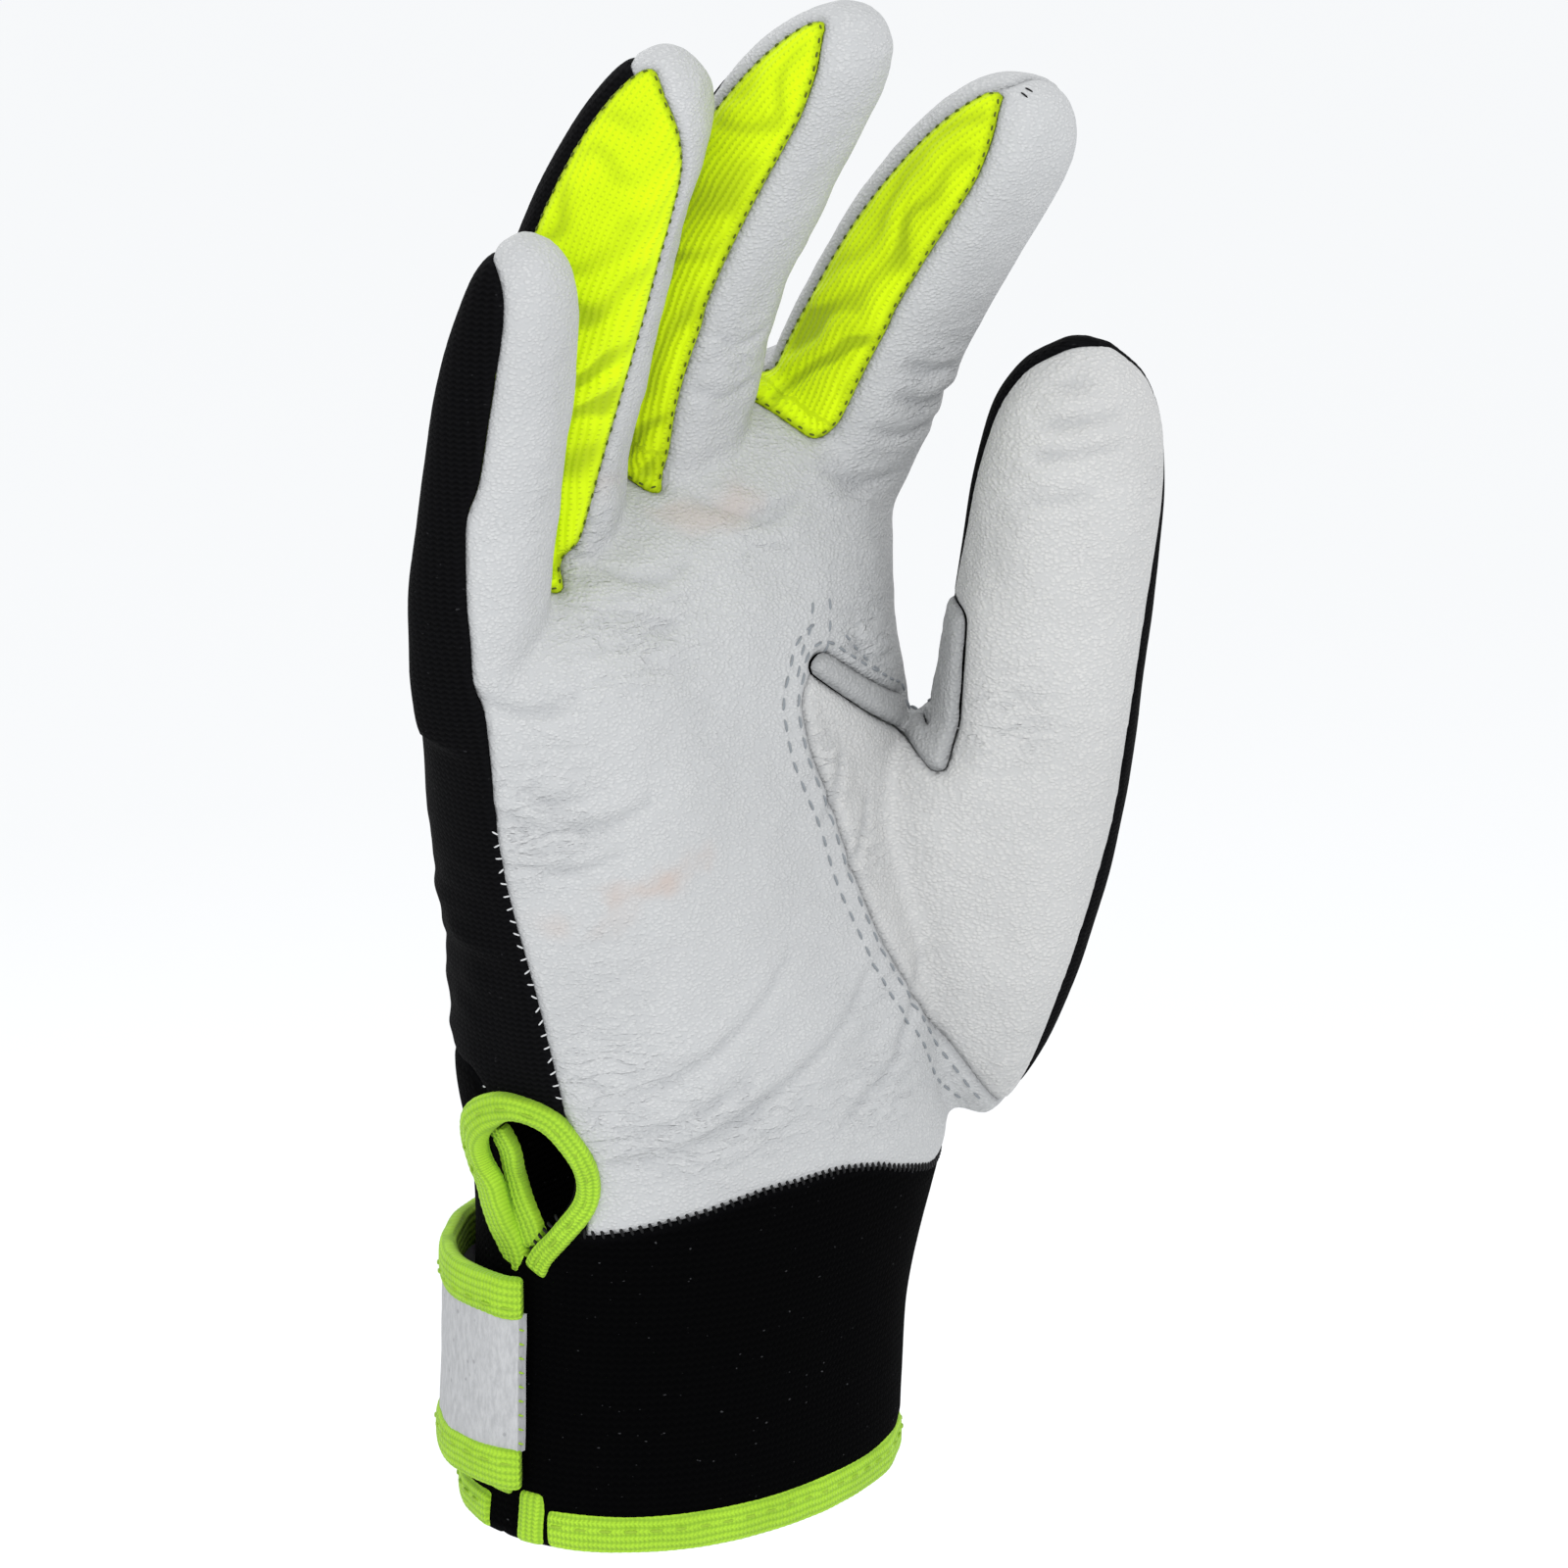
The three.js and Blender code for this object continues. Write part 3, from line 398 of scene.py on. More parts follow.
def digit_line(digit, shares):
    """The middle line of a finger or the thumb: its places, ways along, palmar and across."""
    turn, lean = math.radians(digit["turn"]), math.radians(digit["lean"])
    palmar = np.array([math.sin(turn), -math.cos(turn), 0])
    across = np.array([math.cos(turn), math.sin(turn), 0])
    root, tip = digit["curl"]

    def way(share):
        curl = np.radians(root + (tip - root) * share)[:, None]
        up = np.array([[0, 0, 1]]) * np.cos(curl) + palmar * np.sin(curl)
        return up * math.cos(lean) + across * math.sin(lean)

    steps = 240
    start = np.array([digit["root"][0], -digit["root"][1], digit["root"][2]])
    moves = way((np.arange(steps) + 0.5) / steps) * digit["length"] / steps
    line = np.vstack([start, start + np.cumsum(moves, axis=0)])
    shares = np.asarray(shares, float)
    place = places_at(shares * steps, np.arange(steps + 1), line)
    along = way(shares)
    front = unit(palmar - along * (along @ palmar)[:, None])
    return place, along, front, np.cross(along, front)


def digit_stations(name, shares):
    digit = DIGITS[name]
    rows = THUMB_SECTIONS if name == "thumb" else FINGER_SECTIONS
    values = smooth_rows(rows, shares)
    place, _, front, across = digit_line(digit, shares)
    return dict(
        centre=place, palmar=front, across=across,
        inner=digit["width"] / 2 * values[:, 0], outer=digit["width"] / 2 * values[:, 1],
        half_depth=digit["depth"] / 2 * values[:, 2], arch=np.zeros(len(place)),
    )


def rings(stations, squareness, sides):
    """A ring of points round each station, rounder or squarer by its squareness."""
    cos, sin = squared_circle(sides, squareness)
    wide = np.where(cos > 0, stations["outer"][:, None], stations["inner"][:, None])
    forward = sin * stations["half_depth"][:, None] + stations["arch"][:, None] * cos**2
    return (
        stations["centre"][:, None, :]
        + stations["across"][:, None, :] * (cos * wide)[:, :, None]
        + stations["palmar"][:, None, :] * forward[:, :, None]
    )


def loft(ring_points):
    """Corners and faces of a closed form through rings of as many points each."""
    count, sides = ring_points.shape[:2]
    points = ring_points.reshape(-1, 3)
    faces = []
    for r in range(count - 1):
        for i in range(sides):
            here, beside = r * sides + i, r * sides + (i + 1) % sides
            faces.append((here, beside, beside + sides, here + sides))
    faces.append(tuple(range(sides - 1, -1, -1)))
    faces.append(tuple((count - 1) * sides + i for i in range(sides)))
    return points, faces


def tip_spacing(count):
    """Shares from 0 to 1 that crowd together at the tip."""
    return np.sin(np.linspace(0, math.pi / 2, count))


# Places on the wrist


def wrist_at(height):
    station = hand_stations([height / HAND_HEIGHT])
    return station["centre"][0], station["inner"][0], station["half_depth"][0]


def ulnar_place(forward, up, out):
    centre, half_width, half_depth = wrist_at(up)
    local = forward + centre[1]
    power = abs(local / half_depth) ** HAND_SQUARENESS
    across = -half_width * max(1 - power, 0) ** (1 / HAND_SQUARENESS)
    outwards = unit(np.array([across / half_width**2, -local / half_depth**2, 0]))
    return np.array([centre[0] + across, -forward, up]) + outwards * out, outwards


def cuff_place(angle, up, out):
    centre, half_width, half_depth = wrist_at(up)
    cos, sin = math.cos(math.radians(angle)), math.sin(math.radians(angle))
    power = abs(cos / half_width) ** HAND_SQUARENESS + abs(sin / half_depth) ** HAND_SQUARENESS
    radius = power ** (-1 / HAND_SQUARENESS)
    outwards = unit(np.array([cos / half_width**2, sin / half_depth**2, 0]))
    return np.array([centre[0] + cos * radius, centre[1] + sin * radius, up]) + outwards * out, outwards

# The skin: one smooth surface of the whole glove, cut into panels along its seams

SKIN = {}
SKIN_STEP = 0.8


def pick(*things):
    """Selects these objects and no others, the first as the active one."""
    bpy.ops.object.select_all(action="DESELECT")
    for thing in things:
        thing.select_set(True)
    bpy.context.view_layer.objects.active = things[0]


def right_way_out(thing):
    pick(thing)
    bpy.ops.object.mode_set(mode="EDIT")
    bpy.ops.mesh.select_all(action="SELECT")
    bpy.ops.mesh.normals_make_consistent(inside=False)
    bpy.ops.object.mode_set(mode="OBJECT")


def make_piece(name, points, faces, columns=()):
    """An object of corners in millimetres, with values stored at its corners."""
    mesh = bpy.data.meshes.new(name)
    mesh.from_pydata((np.asarray(points) * MM).tolist(), [], [tuple(f) for f in faces])
    mesh.update()
    mesh.shade_smooth()
    for key, values in columns:
        kind, field = ("FLOAT", "value") if values.ndim == 1 else ("FLOAT_VECTOR", "vector")
        layer = mesh.attributes.new(key, kind, "POINT")
        layer.data.foreach_set(field, values.ravel())
    thing = bpy.data.objects.new(name, mesh)
    bpy.context.collection.objects.link(thing)
    return thing


def form_object(name, ring_points):
    thing = make_piece(name, *loft(ring_points))
    right_way_out(thing)
    return thing


def mesh_arrays(mesh):
    points = np.empty(len(mesh.vertices) * 3)
    mesh.vertices.foreach_get("co", points)
    mesh.calc_loop_triangles()
    faces = np.empty(len(mesh.loop_triangles) * 3, np.int64)
    mesh.loop_triangles.foreach_get("vertices", faces)
    return points.reshape(-1, 3) / MM, faces.reshape(-1, 3)


def all_edges(faces):
    """Every face's three edges, each with its lower corner number first."""
    return np.sort(np.vstack([faces[:, [0, 1]], faces[:, [1, 2]], faces[:, [2, 0]]]), axis=1)


def edge_pairs(faces):
    return np.unique(all_edges(faces), axis=0)


def smoothed(values, pairs, rounds, share=0.5):
    """Values or places at corners, evened out with their neighbours."""
    count = len(values)
    near = np.bincount(pairs.ravel(), minlength=count).astype(float)
    near = np.maximum(near, 1)
    flat = values.reshape(count, -1).astype(float)
    for _ in range(rounds):
        out = np.empty_like(flat)
        for k in range(flat.shape[1]):
            total = np.bincount(pairs[:, 0], flat[pairs[:, 1], k], count)
            total += np.bincount(pairs[:, 1], flat[pairs[:, 0], k], count)
            out[:, k] = total / near
        flat = flat + share * (out - flat)
    return flat.reshape(values.shape)


def corner_normals(points, faces):
    a, b, c = points[faces[:, 0]], points[faces[:, 1]], points[faces[:, 2]]
    face = np.cross(b - a, c - a)
    normals = np.zeros_like(points)
    for k in range(3):
        for j in range(3):
            normals[:, j] += np.bincount(faces[:, k], face[:, j], len(points))
    return unit(normals)


def digit_places(name, points):
    """Where points lie on a finger or the thumb: share along, angle, distance out, across, forward."""
    digit = DIGITS[name]
    shares = np.linspace(-0.1, 1.05, 461)
    inside = np.clip(shares, 0, 1)
    place, along, front, across = digit_line(digit, inside)
    place = place + along * ((shares - inside) * digit["length"])[:, None]
    stop = nearest(points, place)[0]
    offset = points - place[stop]
    share = shares[stop] + dots(offset, along[stop]) / digit["length"]
    x = dots(offset, across[stop])
    y = dots(offset, front[stop])
    return dict(share=share, angle=np.degrees(np.arctan2(y, x)) % 360, out=np.hypot(x, y), x=x, y=y)


def front_edge(digit, share, strip):
    angle = lerp(digit["front"][1], digit["front"][2], smooth_step(share, 0, 0.6))
    return lerp(TIP_ANGLES[0], angle, strip)


def wedge_depth(name, where, low, high, start, stop=None):
    """How deep points lie inside the part of a finger between two angles and above a share."""
    digit = DIGITS[name]
    middle = (low + high) / 2
    turned = (where["angle"] - middle + 180) % 360 - 180
    half = (high - low) / 2
    beside = np.radians(half - np.abs(turned)) * np.maximum(where["out"], 1)
    reach = digit["width"] / 2 * 1.3 + 0.8 - where["out"]
    depth = np.minimum(beside, (where["share"] - start) * digit["length"])
    if stop is not None:
        depth = np.minimum(depth, (stop - where["share"]) * digit["length"])
    return np.minimum(depth, reach)


def strip_at(where):
    return smooth_rows([(r[0], r[4]) for r in FINGER_SECTIONS], where["share"])[:, 0]


def inside_all(*depths):
    """How deep points lie inside every one of some parts."""
    return np.minimum.reduce(depths)


def seam_fields(points, digits):
    """How deep every point of the skin lies inside each panel, before the ones cut ahead of it."""
    x, y, z = points.T
    fields = thumb_fields(points, digits["thumb"])
    turn = np.degrees(np.arctan2(y, x - wrist_at(60)[0][0])) % 360
    fields["cuff"] = smooth_rows(CUFF_TOP, turn)[:, 0] - z
    fields["slit"] = inside_all(polygon_distance(np.stack([-y, z], 1), slit_outline()), -5 - x)
    for name in STRIPS:
        fields[name] = strip_field(name, points, digits)
    strip = strip_at(digits["index"])
    sides = (lerp(tip, back, strip) for tip, back in zip(TIP_ANGLES, DIGITS["index"]["back"]))
    fields["index_back"] = wedge_depth("index", digits["index"], *sides, 0.05, STRIP_STOP)
    fields["palm_leather"] = palm_field(points, digits)
    return fields


def thumb_fields(points, thumb):
    """The thumb's leather, welt and back. Its places along are shares, the others millimetres."""
    x, y, z = points.T
    facing = math.radians(THUMB_FACING)
    flat = np.stack([x * math.cos(facing) + y * math.sin(facing), z], 1)
    share, thumb_length = thumb["share"], DIGITS["thumb"]["length"]
    below_tip, above_root = (1.03 - share) * thumb_length, (share - 0.07) * thumb_length
    inward = lerp(-1.5, 1.9, smooth_step(share, 0.66, 0.78))
    edge = lerp(inward, smooth_rows(THUMB_OUTER, share)[:, 0], smooth_step(thumb["x"], -4, 9))
    beside = lerp(90.0, 16.5, smooth_step(share, 0.55, 0.75)) - thumb["out"]
    outline = polygon_distance(flat, [(a, b) for a, b, _ in THUMB_OUTLINE])
    welt, _ = line_distance(flat, [(a, b) for a, b, under in THUMB_OUTLINE if under])
    inner = thumb["x"] - lerp(-6.0, -20.0, smooth_step(share, 0.42, 0.52))
    crotch = np.linalg.norm(points - np.array(CROTCH), axis=1) - CROTCH_REACH
    behind = edge + 3.5 - thumb["y"]
    return {
        "thumb_leather": inside_all(outline, thumb["y"] - edge, beside, below_tip, x * 6),
        "crotch_welt": inside_all(WELT_WIDTH / 2 - welt, thumb["y"] + 2.5, x + 5),
        "thumb_back": inside_all(
            inner, behind, above_root, below_tip, beside, 19.0 - thumb["out"], crotch
        ),
    }


def strip_field(name, points, digits):
    """A yellow strip: the two fingers' sides and its point in the palm."""
    x, y, z = points.T
    (thumbwards, littlewards), starts, outline = STRIPS[name]
    a, b = digits[thumbwards], digits[littlewards]
    strip_a, strip_b = strip_at(a), strip_at(b)
    da, db = DIGITS[thumbwards], DIGITS[littlewards]
    side_a = wedge_depth(
        thumbwards, a, front_edge(da, a["share"], strip_a),
        lerp(TIP_ANGLES[0], da["back"][0], strip_a), starts[0], STRIP_STOP,
    )
    side_b = wedge_depth(
        littlewards, b, lerp(TIP_ANGLES[1], db["back"][1], strip_b),
        lerp(TIP_ANGLES[1], db["front"][0] + 360, strip_b), starts[1], STRIP_STOP,
    )
    point = polygon_distance(np.stack([x, z], 1), outline)
    point = np.where(np.abs(y + 8) < 34, point, -5) - 2.5 * smooth_step(y, 0, 8)
    if name == "fourchette_middle_ring":
        front = (z - 160 + 2.2 * (y + 7.6)) / 2.4 + 3 * np.maximum(0, x + 12)
        side_b, point = np.minimum(side_b, front), np.minimum(point, front)
    return soft_max(soft_max(side_a, side_b, 1.0), point, 1.5)


def palm_field(points, digits):
    """The palm with the fingers' pads, the leather over their tips and the webs."""
    x, y, z = points.T
    edges = smooth_rows(PALM_EDGES, z / HAND_HEIGHT)
    centre = hand_stations(z / HAND_HEIGHT)["centre"]
    share = np.clip((x - centre[:, 0] + 58) / 116, 0, 1)
    front = centre[:, 1] - y - lerp(edges[:, 0], edges[:, 1], share)
    palm = np.minimum(front, HAND_HEIGHT + 3 - z)
    for name in FINGERS:
        where, digit = digits[name], DIGITS[name]
        strip = strip_at(where)
        before, after = 0 if name == "index" else PAD_OVERLAP, 0 if name == "pinky" else PAD_OVERLAP
        pad = wedge_depth(
            name, where, lerp(TIP_ANGLES[1] - 360, digit["front"][0], strip) - before,
            front_edge(digit, where["share"], strip) + after, 0.12,
        )
        tip = inside_all((where["share"] - TIP_START) * digit["length"], 16 - where["out"])
        palm = np.maximum(soft_max(palm, pad, 0.8), tip)
    for *corner, reach in WEBS:
        palm = np.maximum(palm, reach - np.linalg.norm(points - np.array(corner), axis=1))
    return palm


def slit_outline():
    margin = SLIT_BINDING_WIDTH / 2 - 0.4
    path = [(a, b) for a, b, _ in SLIT_PATH]
    fine = curve_through(np.array([(a, b, 0) for a, b in path]), 60)[:, :2]
    way = np.gradient(fine, axis=0)
    out = unit(np.stack([-way[:, 1], way[:, 0]], 1))
    grown = fine + out * margin
    if polygon_distance(np.array([[2.0, 55.0]]), [*grown, (SLIT_FRONT_EDGE, 8)])[0] < 0:
        grown = fine - out * margin
    front = SLIT_FRONT_EDGE - margin
    return [(front, -6), (front, 40.5), (SLIT_PATH[0][0] + 1.0, 40.5), *map(tuple, grown),
            (SLIT_PATH[-1][0] - margin, -6)]


def curve_through(points, count):
    """Evenly spaced places on a smooth curve through some points."""
    points = np.array(points, float)
    padded = np.vstack([2 * points[0] - points[1], points, 2 * points[-1] - points[-2]])
    fine = []
    for a, b, c, d in zip(padded, padded[1:], padded[2:], padded[3:]):
        for t in np.linspace(0, 1, 24, endpoint=False):
            fine.append(
                0.5 * (2 * b + (c - a) * t + (2 * a - 5 * b + 4 * c - d) * t**2
                       + (3 * b - a - 3 * c + d) * t**3)
            )
    fine = np.array([*fine, points[-1]])
    run = run_along(fine)
    return places_at(np.linspace(0, run[-1], count), run, fine)


# A corner nearer to a cut than this share of its edge moves onto it
MOVE_LIMIT = 0.22


def cut_along(points, faces, values, carried):
    """Cuts faces where a value at the corners is zero, and says which of them lie above it."""
    g = values.copy()
    a, b = edge_pairs(faces).T
    crossing = (g[a] * g[b]) < 0
    a, b = a[crossing], b[crossing]
    share = g[a] / (g[a] - g[b])
    near = np.minimum(share, 1 - share)
    moved = set()
    for i in np.argsort(near):
        if near[i] > MOVE_LIMIT:
            break
        keep, other, t = (a[i], b[i], share[i]) if share[i] <= 0.5 else (b[i], a[i], 1 - share[i])
        if keep in moved or other in moved:
            continue
        moved.add(int(keep))
        points[keep] += (points[other] - points[keep]) * t
        for column in carried:
            column[keep] += (column[other] - column[keep]) * t
        g[keep] = 0.0
    new_points, new_columns, made = [], [[] for _ in carried], {}

    def middle(i, j):
        key = (min(i, j), max(i, j))
        if key not in made:
            t = g[i] / (g[i] - g[j])
            made[key] = len(points) + len(new_points)
            new_points.append(points[i] + (points[j] - points[i]) * t)
            for column, new in zip(carried, new_columns):
                new.append(column[i] + (column[j] - column[i]) * t)
        return made[key]

    signs = np.sign(g[faces]).astype(int)
    high = signs.max(axis=1) > 0
    low = signs.min(axis=1) < 0
    whole = ~(high & low)
    keep_faces = [faces[whole]]
    keep_above = [high[whole]]
    pieces, above = [], []
    for face, sign in zip(faces[~whole], signs[~whole]):
        for side in (1, -1):
            ring = []
            for k in range(3):
                i, j = face[k], face[(k + 1) % 3]
                if sign[k] * side >= 0:
                    ring.append(i)
                if sign[k] * sign[(k + 1) % 3] < 0:
                    ring.append(middle(i, j))
            for k in range(1, len(ring) - 1):
                pieces.append((ring[0], ring[k], ring[k + 1]))
                above.append(side > 0)
    if pieces:
        keep_faces.append(np.array(pieces))
        keep_above.append(np.array(above))
    if new_points:
        points = np.vstack([points, new_points])
        carried = [np.concatenate([c, np.array(n).reshape(-1, *c.shape[1:])]) for c, n in
                   zip(carried, new_columns)]
    return points, np.vstack(keep_faces), np.concatenate(keep_above), carried


# Rows and sides of the forms that the skin is made from, and where the lowest rows lie
HAND_ROWS, HAND_SIDES, DIGIT_ROWS, DIGIT_SIDES = 64, 96, 56, 64
HAND_FOOT, THUMB_FOOT = -0.02, 0.02
# Smoothing rounds: the voxels' steps, the seams between the forms, and each panel's edge
STEP_ROUNDS, BLEND_ROUNDS = 6, 14
EDGE_ROUNDS, OWN_EDGE_ROUNDS = 10, {"crotch_welt": 3, "palm_leather": 40}
# The open hem lies this many millimetres above the ground
OPEN_BELOW = 0.2


def build_skin():
    """The whole glove as one even surface, with every panel's depth known at each corner."""
    if SKIN:
        return SKIN
    heights = np.linspace(HAND_FOOT, 1.0, HAND_ROWS)
    forms = [form_object("hand_form", rings(hand_stations(heights), HAND_SQUARENESS, HAND_SIDES))]
    for name in DIGITS:
        squareness = THUMB_SQUARENESS if name == "thumb" else FINGER_SQUARENESS
        shares = lerp(THUMB_FOOT if name == "thumb" else 0.0, 1, tip_spacing(DIGIT_ROWS))
        stations = digit_stations(name, shares)
        forms.append(form_object(name + "_form", rings(stations, squareness, DIGIT_SIDES)))
    pick(*forms)
    bpy.ops.object.join()
    skin = forms[0]
    remesh = skin.modifiers.new("even", "REMESH")
    remesh.mode = "VOXEL"
    remesh.voxel_size = SKIN_STEP * MM
    bpy.ops.object.modifier_apply(modifier=remesh.name)
    points, faces = mesh_arrays(skin.data)
    bpy.data.objects.remove(skin)
    pairs = edge_pairs(faces)
    for _ in range(STEP_ROUNDS):
        points = smoothed(points, pairs, 1, 0.6)
        points = smoothed(points, pairs, 1, -0.61)
    even = smoothed(points, pairs, BLEND_ROUNDS)
    points = even + smoothed(points - even, pairs, BLEND_ROUNDS)
    normals = corner_normals(points, faces)
    if dots(points - points.mean(axis=0), normals).mean() < 0:
        faces = faces[:, ::-1]
    digits = {name: digit_places(name, points) for name in DIGITS}
    fields = seam_fields(points, digits)
    for name in fields:
        fields[name] = smoothed(fields[name], pairs, OWN_EDGE_ROUNDS.get(name, EDGE_ROUNDS))
    cut_panels(points, faces, fields)
    return SKIN


PANEL_ORDER = (
    "slit", "crotch_welt", "cuff", "thumb_leather", "thumb_back", "fourchette_index_middle",
    "fourchette_middle_ring", "fourchette_ring_pinky", "index_back", "palm_leather",
)


def cut_panels(points, left, fields):
    """Cuts the skin along every panel's edge in turn. What is left is the knit back."""
    names, carried = [*fields, "floor"], [*fields.values(), OPEN_BELOW - points[:, 2]]
    panels = {}
    for name in ("floor", *PANEL_ORDER):
        depths = carried[names.index(name)]
        points, left, above, carried = cut_along(points, left, depths, carried)
        panels[name] = left[above]
        left = left[~above]
    panels["back_knit"] = left
    wholes = {
        name: largest_piece(faces, len(points))
        for name, faces in settled(panels).items() if name not in ("floor", "slit")
    }
    SKIN.update(points=points, panels=panels, wholes=wholes)


def settled(panels):
    """The panels with every stray patch given to the panel that borders it most."""
    names = list(panels)
    faces = np.vstack([panels[n] for n in names])
    owner = np.repeat(np.arange(len(names)), [len(panels[n]) for n in names])
    edges = all_edges(faces)
    face_of = np.tile(np.arange(len(faces)), 3)
    order = np.lexsort(edges.T)
    same = (edges[order][1:] == edges[order][:-1]).all(axis=1)
    a, b = face_of[order][:-1][same], face_of[order][1:][same]
    inside = owner[a] == owner[b]
    group = islands(a[inside], b[inside], len(faces))
    loose = np.zeros(len(faces), bool)
    for k in range(len(names)):
        ids, sizes = np.unique(group[owner == k], return_counts=True)
        if len(ids):
            loose |= (owner == k) & (group != ids[sizes.argmax()])
    for g in np.unique(group[loose]):
        beside = np.concatenate([
            owner[b[(group[a] == g) & ~loose[b]]], owner[a[(group[b] == g) & ~loose[a]]]
        ])
        if len(beside):
            owner[group == g] = np.bincount(beside).argmax()
    return {name: faces[owner == k] for k, name in enumerate(names)}


def islands(a, b, count):
    """The lowest number that each of some numbered things is linked to, given pairs of links."""
    group = np.arange(count)
    while True:
        low = np.minimum(group[a], group[b])
        new = group.copy()
        np.minimum.at(new, a, low)
        np.minimum.at(new, b, low)
        new = new[new]
        if (new == group).all():
            return group
        group = new


def largest_piece(faces, count):
    """The faces of the biggest connected patch, without crumbs."""
    group = islands(*edge_pairs(faces).T, count)
    ids, sizes = np.unique(group[faces[:, 0]], return_counts=True)
    return faces[group[faces[:, 0]] == ids[sizes.argmax()]]


def open_edge_corners(faces):
    unique, counts = np.unique(all_edges(faces), axis=0, return_counts=True)
    return np.unique(unique[counts == 1])


def noise_at(points, size, seed, octaves=2.0, ridged=False):
    """Noise at points, with lumps of a size in millimetres, or with sharp ridges."""
    shift = Vector((seed * 17.3, seed * 5.1, seed * 9.7))
    places = [Vector(p / size) + shift for p in points]
    if ridged:
        return np.array([noise.ridged_multi_fractal(p, 0.9, 2.1, octaves, 1.0, 2.0) for p in places])
    return np.array([noise.fractal(p, 1.0, 2.0, octaves) for p in places])


def whole_normals():
    if "normals" not in SKIN:
        faces = np.vstack(list(SKIN["panels"].values()))
        SKIN["normals"] = corner_normals(SKIN["points"], faces)
    return SKIN["normals"]


def panel_arrays(name):
    """A panel's own corners, faces, normals and distances from its edge."""
    skin = build_skin()
    faces = skin["wholes"][name]
    used, compact = np.unique(faces, return_inverse=True)
    faces = compact.reshape(-1, 3)
    points = skin["points"][used].copy()
    normals = whole_normals()[used].copy()
    seam = nearest(points, points[open_edge_corners(faces)])[1]
    return points, faces, normals, seam


def finished(thing, slot, *nodes, finishes):
    """Gives a piece its materials and its body, and hides the solids it stands for. Its slot is not
    used.
    """
    for key in finishes:
        thing.data.materials.append(finish(key))
    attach(thing, "root")
    if nodes:
        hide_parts(*nodes)


def walled(thing, wall, lined=False):
    """Gives a sheet its wall, inwards from the outside."""
    pick(thing)
    solid = thing.modifiers.new("wall", "SOLIDIFY")
    solid.thickness = wall * MM
    solid.offset = -1
    solid.use_even_offset = False
    solid.material_offset = 1 if lined else 0
    bpy.ops.object.modifier_apply(modifier=solid.name)


# Creases of the leather in the palm: depth, width, then across and up along the crease
CREASES = [
    (0.8, 1.1, [(-46, 110), (-41, 107), (-33, 107), (-25, 110)]),
    (0.5, 0.9, [(-45, 114), (-40, 111), (-35, 111.5)]),
    (0.5, 0.9, [(-44, 102.5), (-38, 101), (-31, 103)]),
    (0.6, 1.1, [(-29, 143), (-23, 139), (-17, 138), (-11, 140)]),
    (0.5, 0.9, [(-27, 136), (-21, 132), (-15, 132.5)]),
    (0.6, 1.0, [(-6, 147), (3, 143.5), (12, 145)]),
    (0.6, 1.1, [(16, 148), (24, 144.5), (34, 146)]),
    (0.8, 1.1, [(23, 163), (29, 161), (36, 162)]),
    (0.7, 1.0, [(24, 158), (30, 156), (38, 157.5)]),
    (0.6, 1.0, [(22, 153.5), (29, 151.5), (37, 153)]),
    (0.7, 1.2, [(-50, 127), (-43, 124), (-36, 125.5)]),
    (0.8, 1.3, [(-31, 57), (-20, 60), (-8, 65), (6, 72), (16, 81)]),
    (0.5, 1.0, [(-33, 60.5), (-22, 64), (-12, 68.5)]),
    (0.6, 1.1, [(-34, 66), (-24, 70), (-13, 76), (-3, 85)]),
    (0.6, 1.2, [(2, 56), (13, 61), (22, 69), (27, 78)]),
    (0.5, 1.0, [(10, 92), (15, 96), (18, 102)]),
    (0.45, 0.9, [(5, 100), (10, 104), (13, 110)]),
    (0.6, 1.0, [(17, 124), (22, 120), (29, 120)]),
    (0.5, 0.9, [(-6, 171), (-1, 168), (5, 170)]),
    (0.5, 0.9, [(-7, 163), (-1, 160.5), (6, 162.5)]),
]


# Lumps' size and depth: slow dents and small ones, then puckers and how wear deepens them
SLOW_DENTS, SMALL_DENTS = (26, 0.75), (11, 0.35)
PUCKER_SIZE, PUCKER_DEPTH, WORN_DEPTH = 5.5, 0.06, 0.3
# How a crease wanders, as size and depth, and the swelling beside it as shares of its own sizes
CREASE_SWAY, SWELL_AT, SWELL_WIDTH, SWELL_HEIGHT = (9, 0.8), 2.4, 1.5, 0.35


def leather_relief(points, normals, seam, wear, strength=1.0):
    """Slow dents, fine puckers and the palm's creases, all fading into the seams, and a painted shade
    for the hollows of the puckers and creases.
    """
    fade = smooth_step(seam, 0.5, 5)
    slow = noise_at(points, SLOW_DENTS[0], 1) * SLOW_DENTS[1]
    dents = noise_at(points, SMALL_DENTS[0], 2, octaves=3.0) * SMALL_DENTS[1]
    stretched = points * np.array([0.38, 0.38, 1.5])
    ridges = noise_at(stretched, PUCKER_SIZE, 3, ridged=True)
    ridges = (ridges - np.median(ridges)) * (PUCKER_DEPTH + WORN_DEPTH * wear)
    relief = (slow + dents - ridges) * strength * fade
    # painted shade in the puckers' hollows, kept apart from the relief
    dip = np.clip(ridges * 0.8, 0, 0.6) * fade
    flat = points[:, [0, 2]]
    ahead = smooth_step(-normals[:, 1], 0.1, 0.5)
    for depth, width, line in CREASES:
        smooth_line = curve_through([(a, b, 0) for a, b in line], 40)[:, :2]
        far, run = line_distance(flat, smooth_line)
        ends = np.sin(np.clip(run / run_along(smooth_line)[-1], 0, 1) * math.pi) ** 0.5
        sway = far + noise_at(points, CREASE_SWAY[0], 7) * CREASE_SWAY[1]
        beside = (np.abs(sway) - SWELL_AT * width) / (SWELL_WIDTH * width)
        fold = depth * (SWELL_HEIGHT * np.exp(-(beside**2)) - np.exp(-((sway / width) ** 2)))
        relief += fold * ends * ahead
        # painted shade along the crease's hollow
        dip = np.maximum(dip, np.clip(-fold / depth - 0.25, 0, 1) * ends * ahead)
    return relief, dip


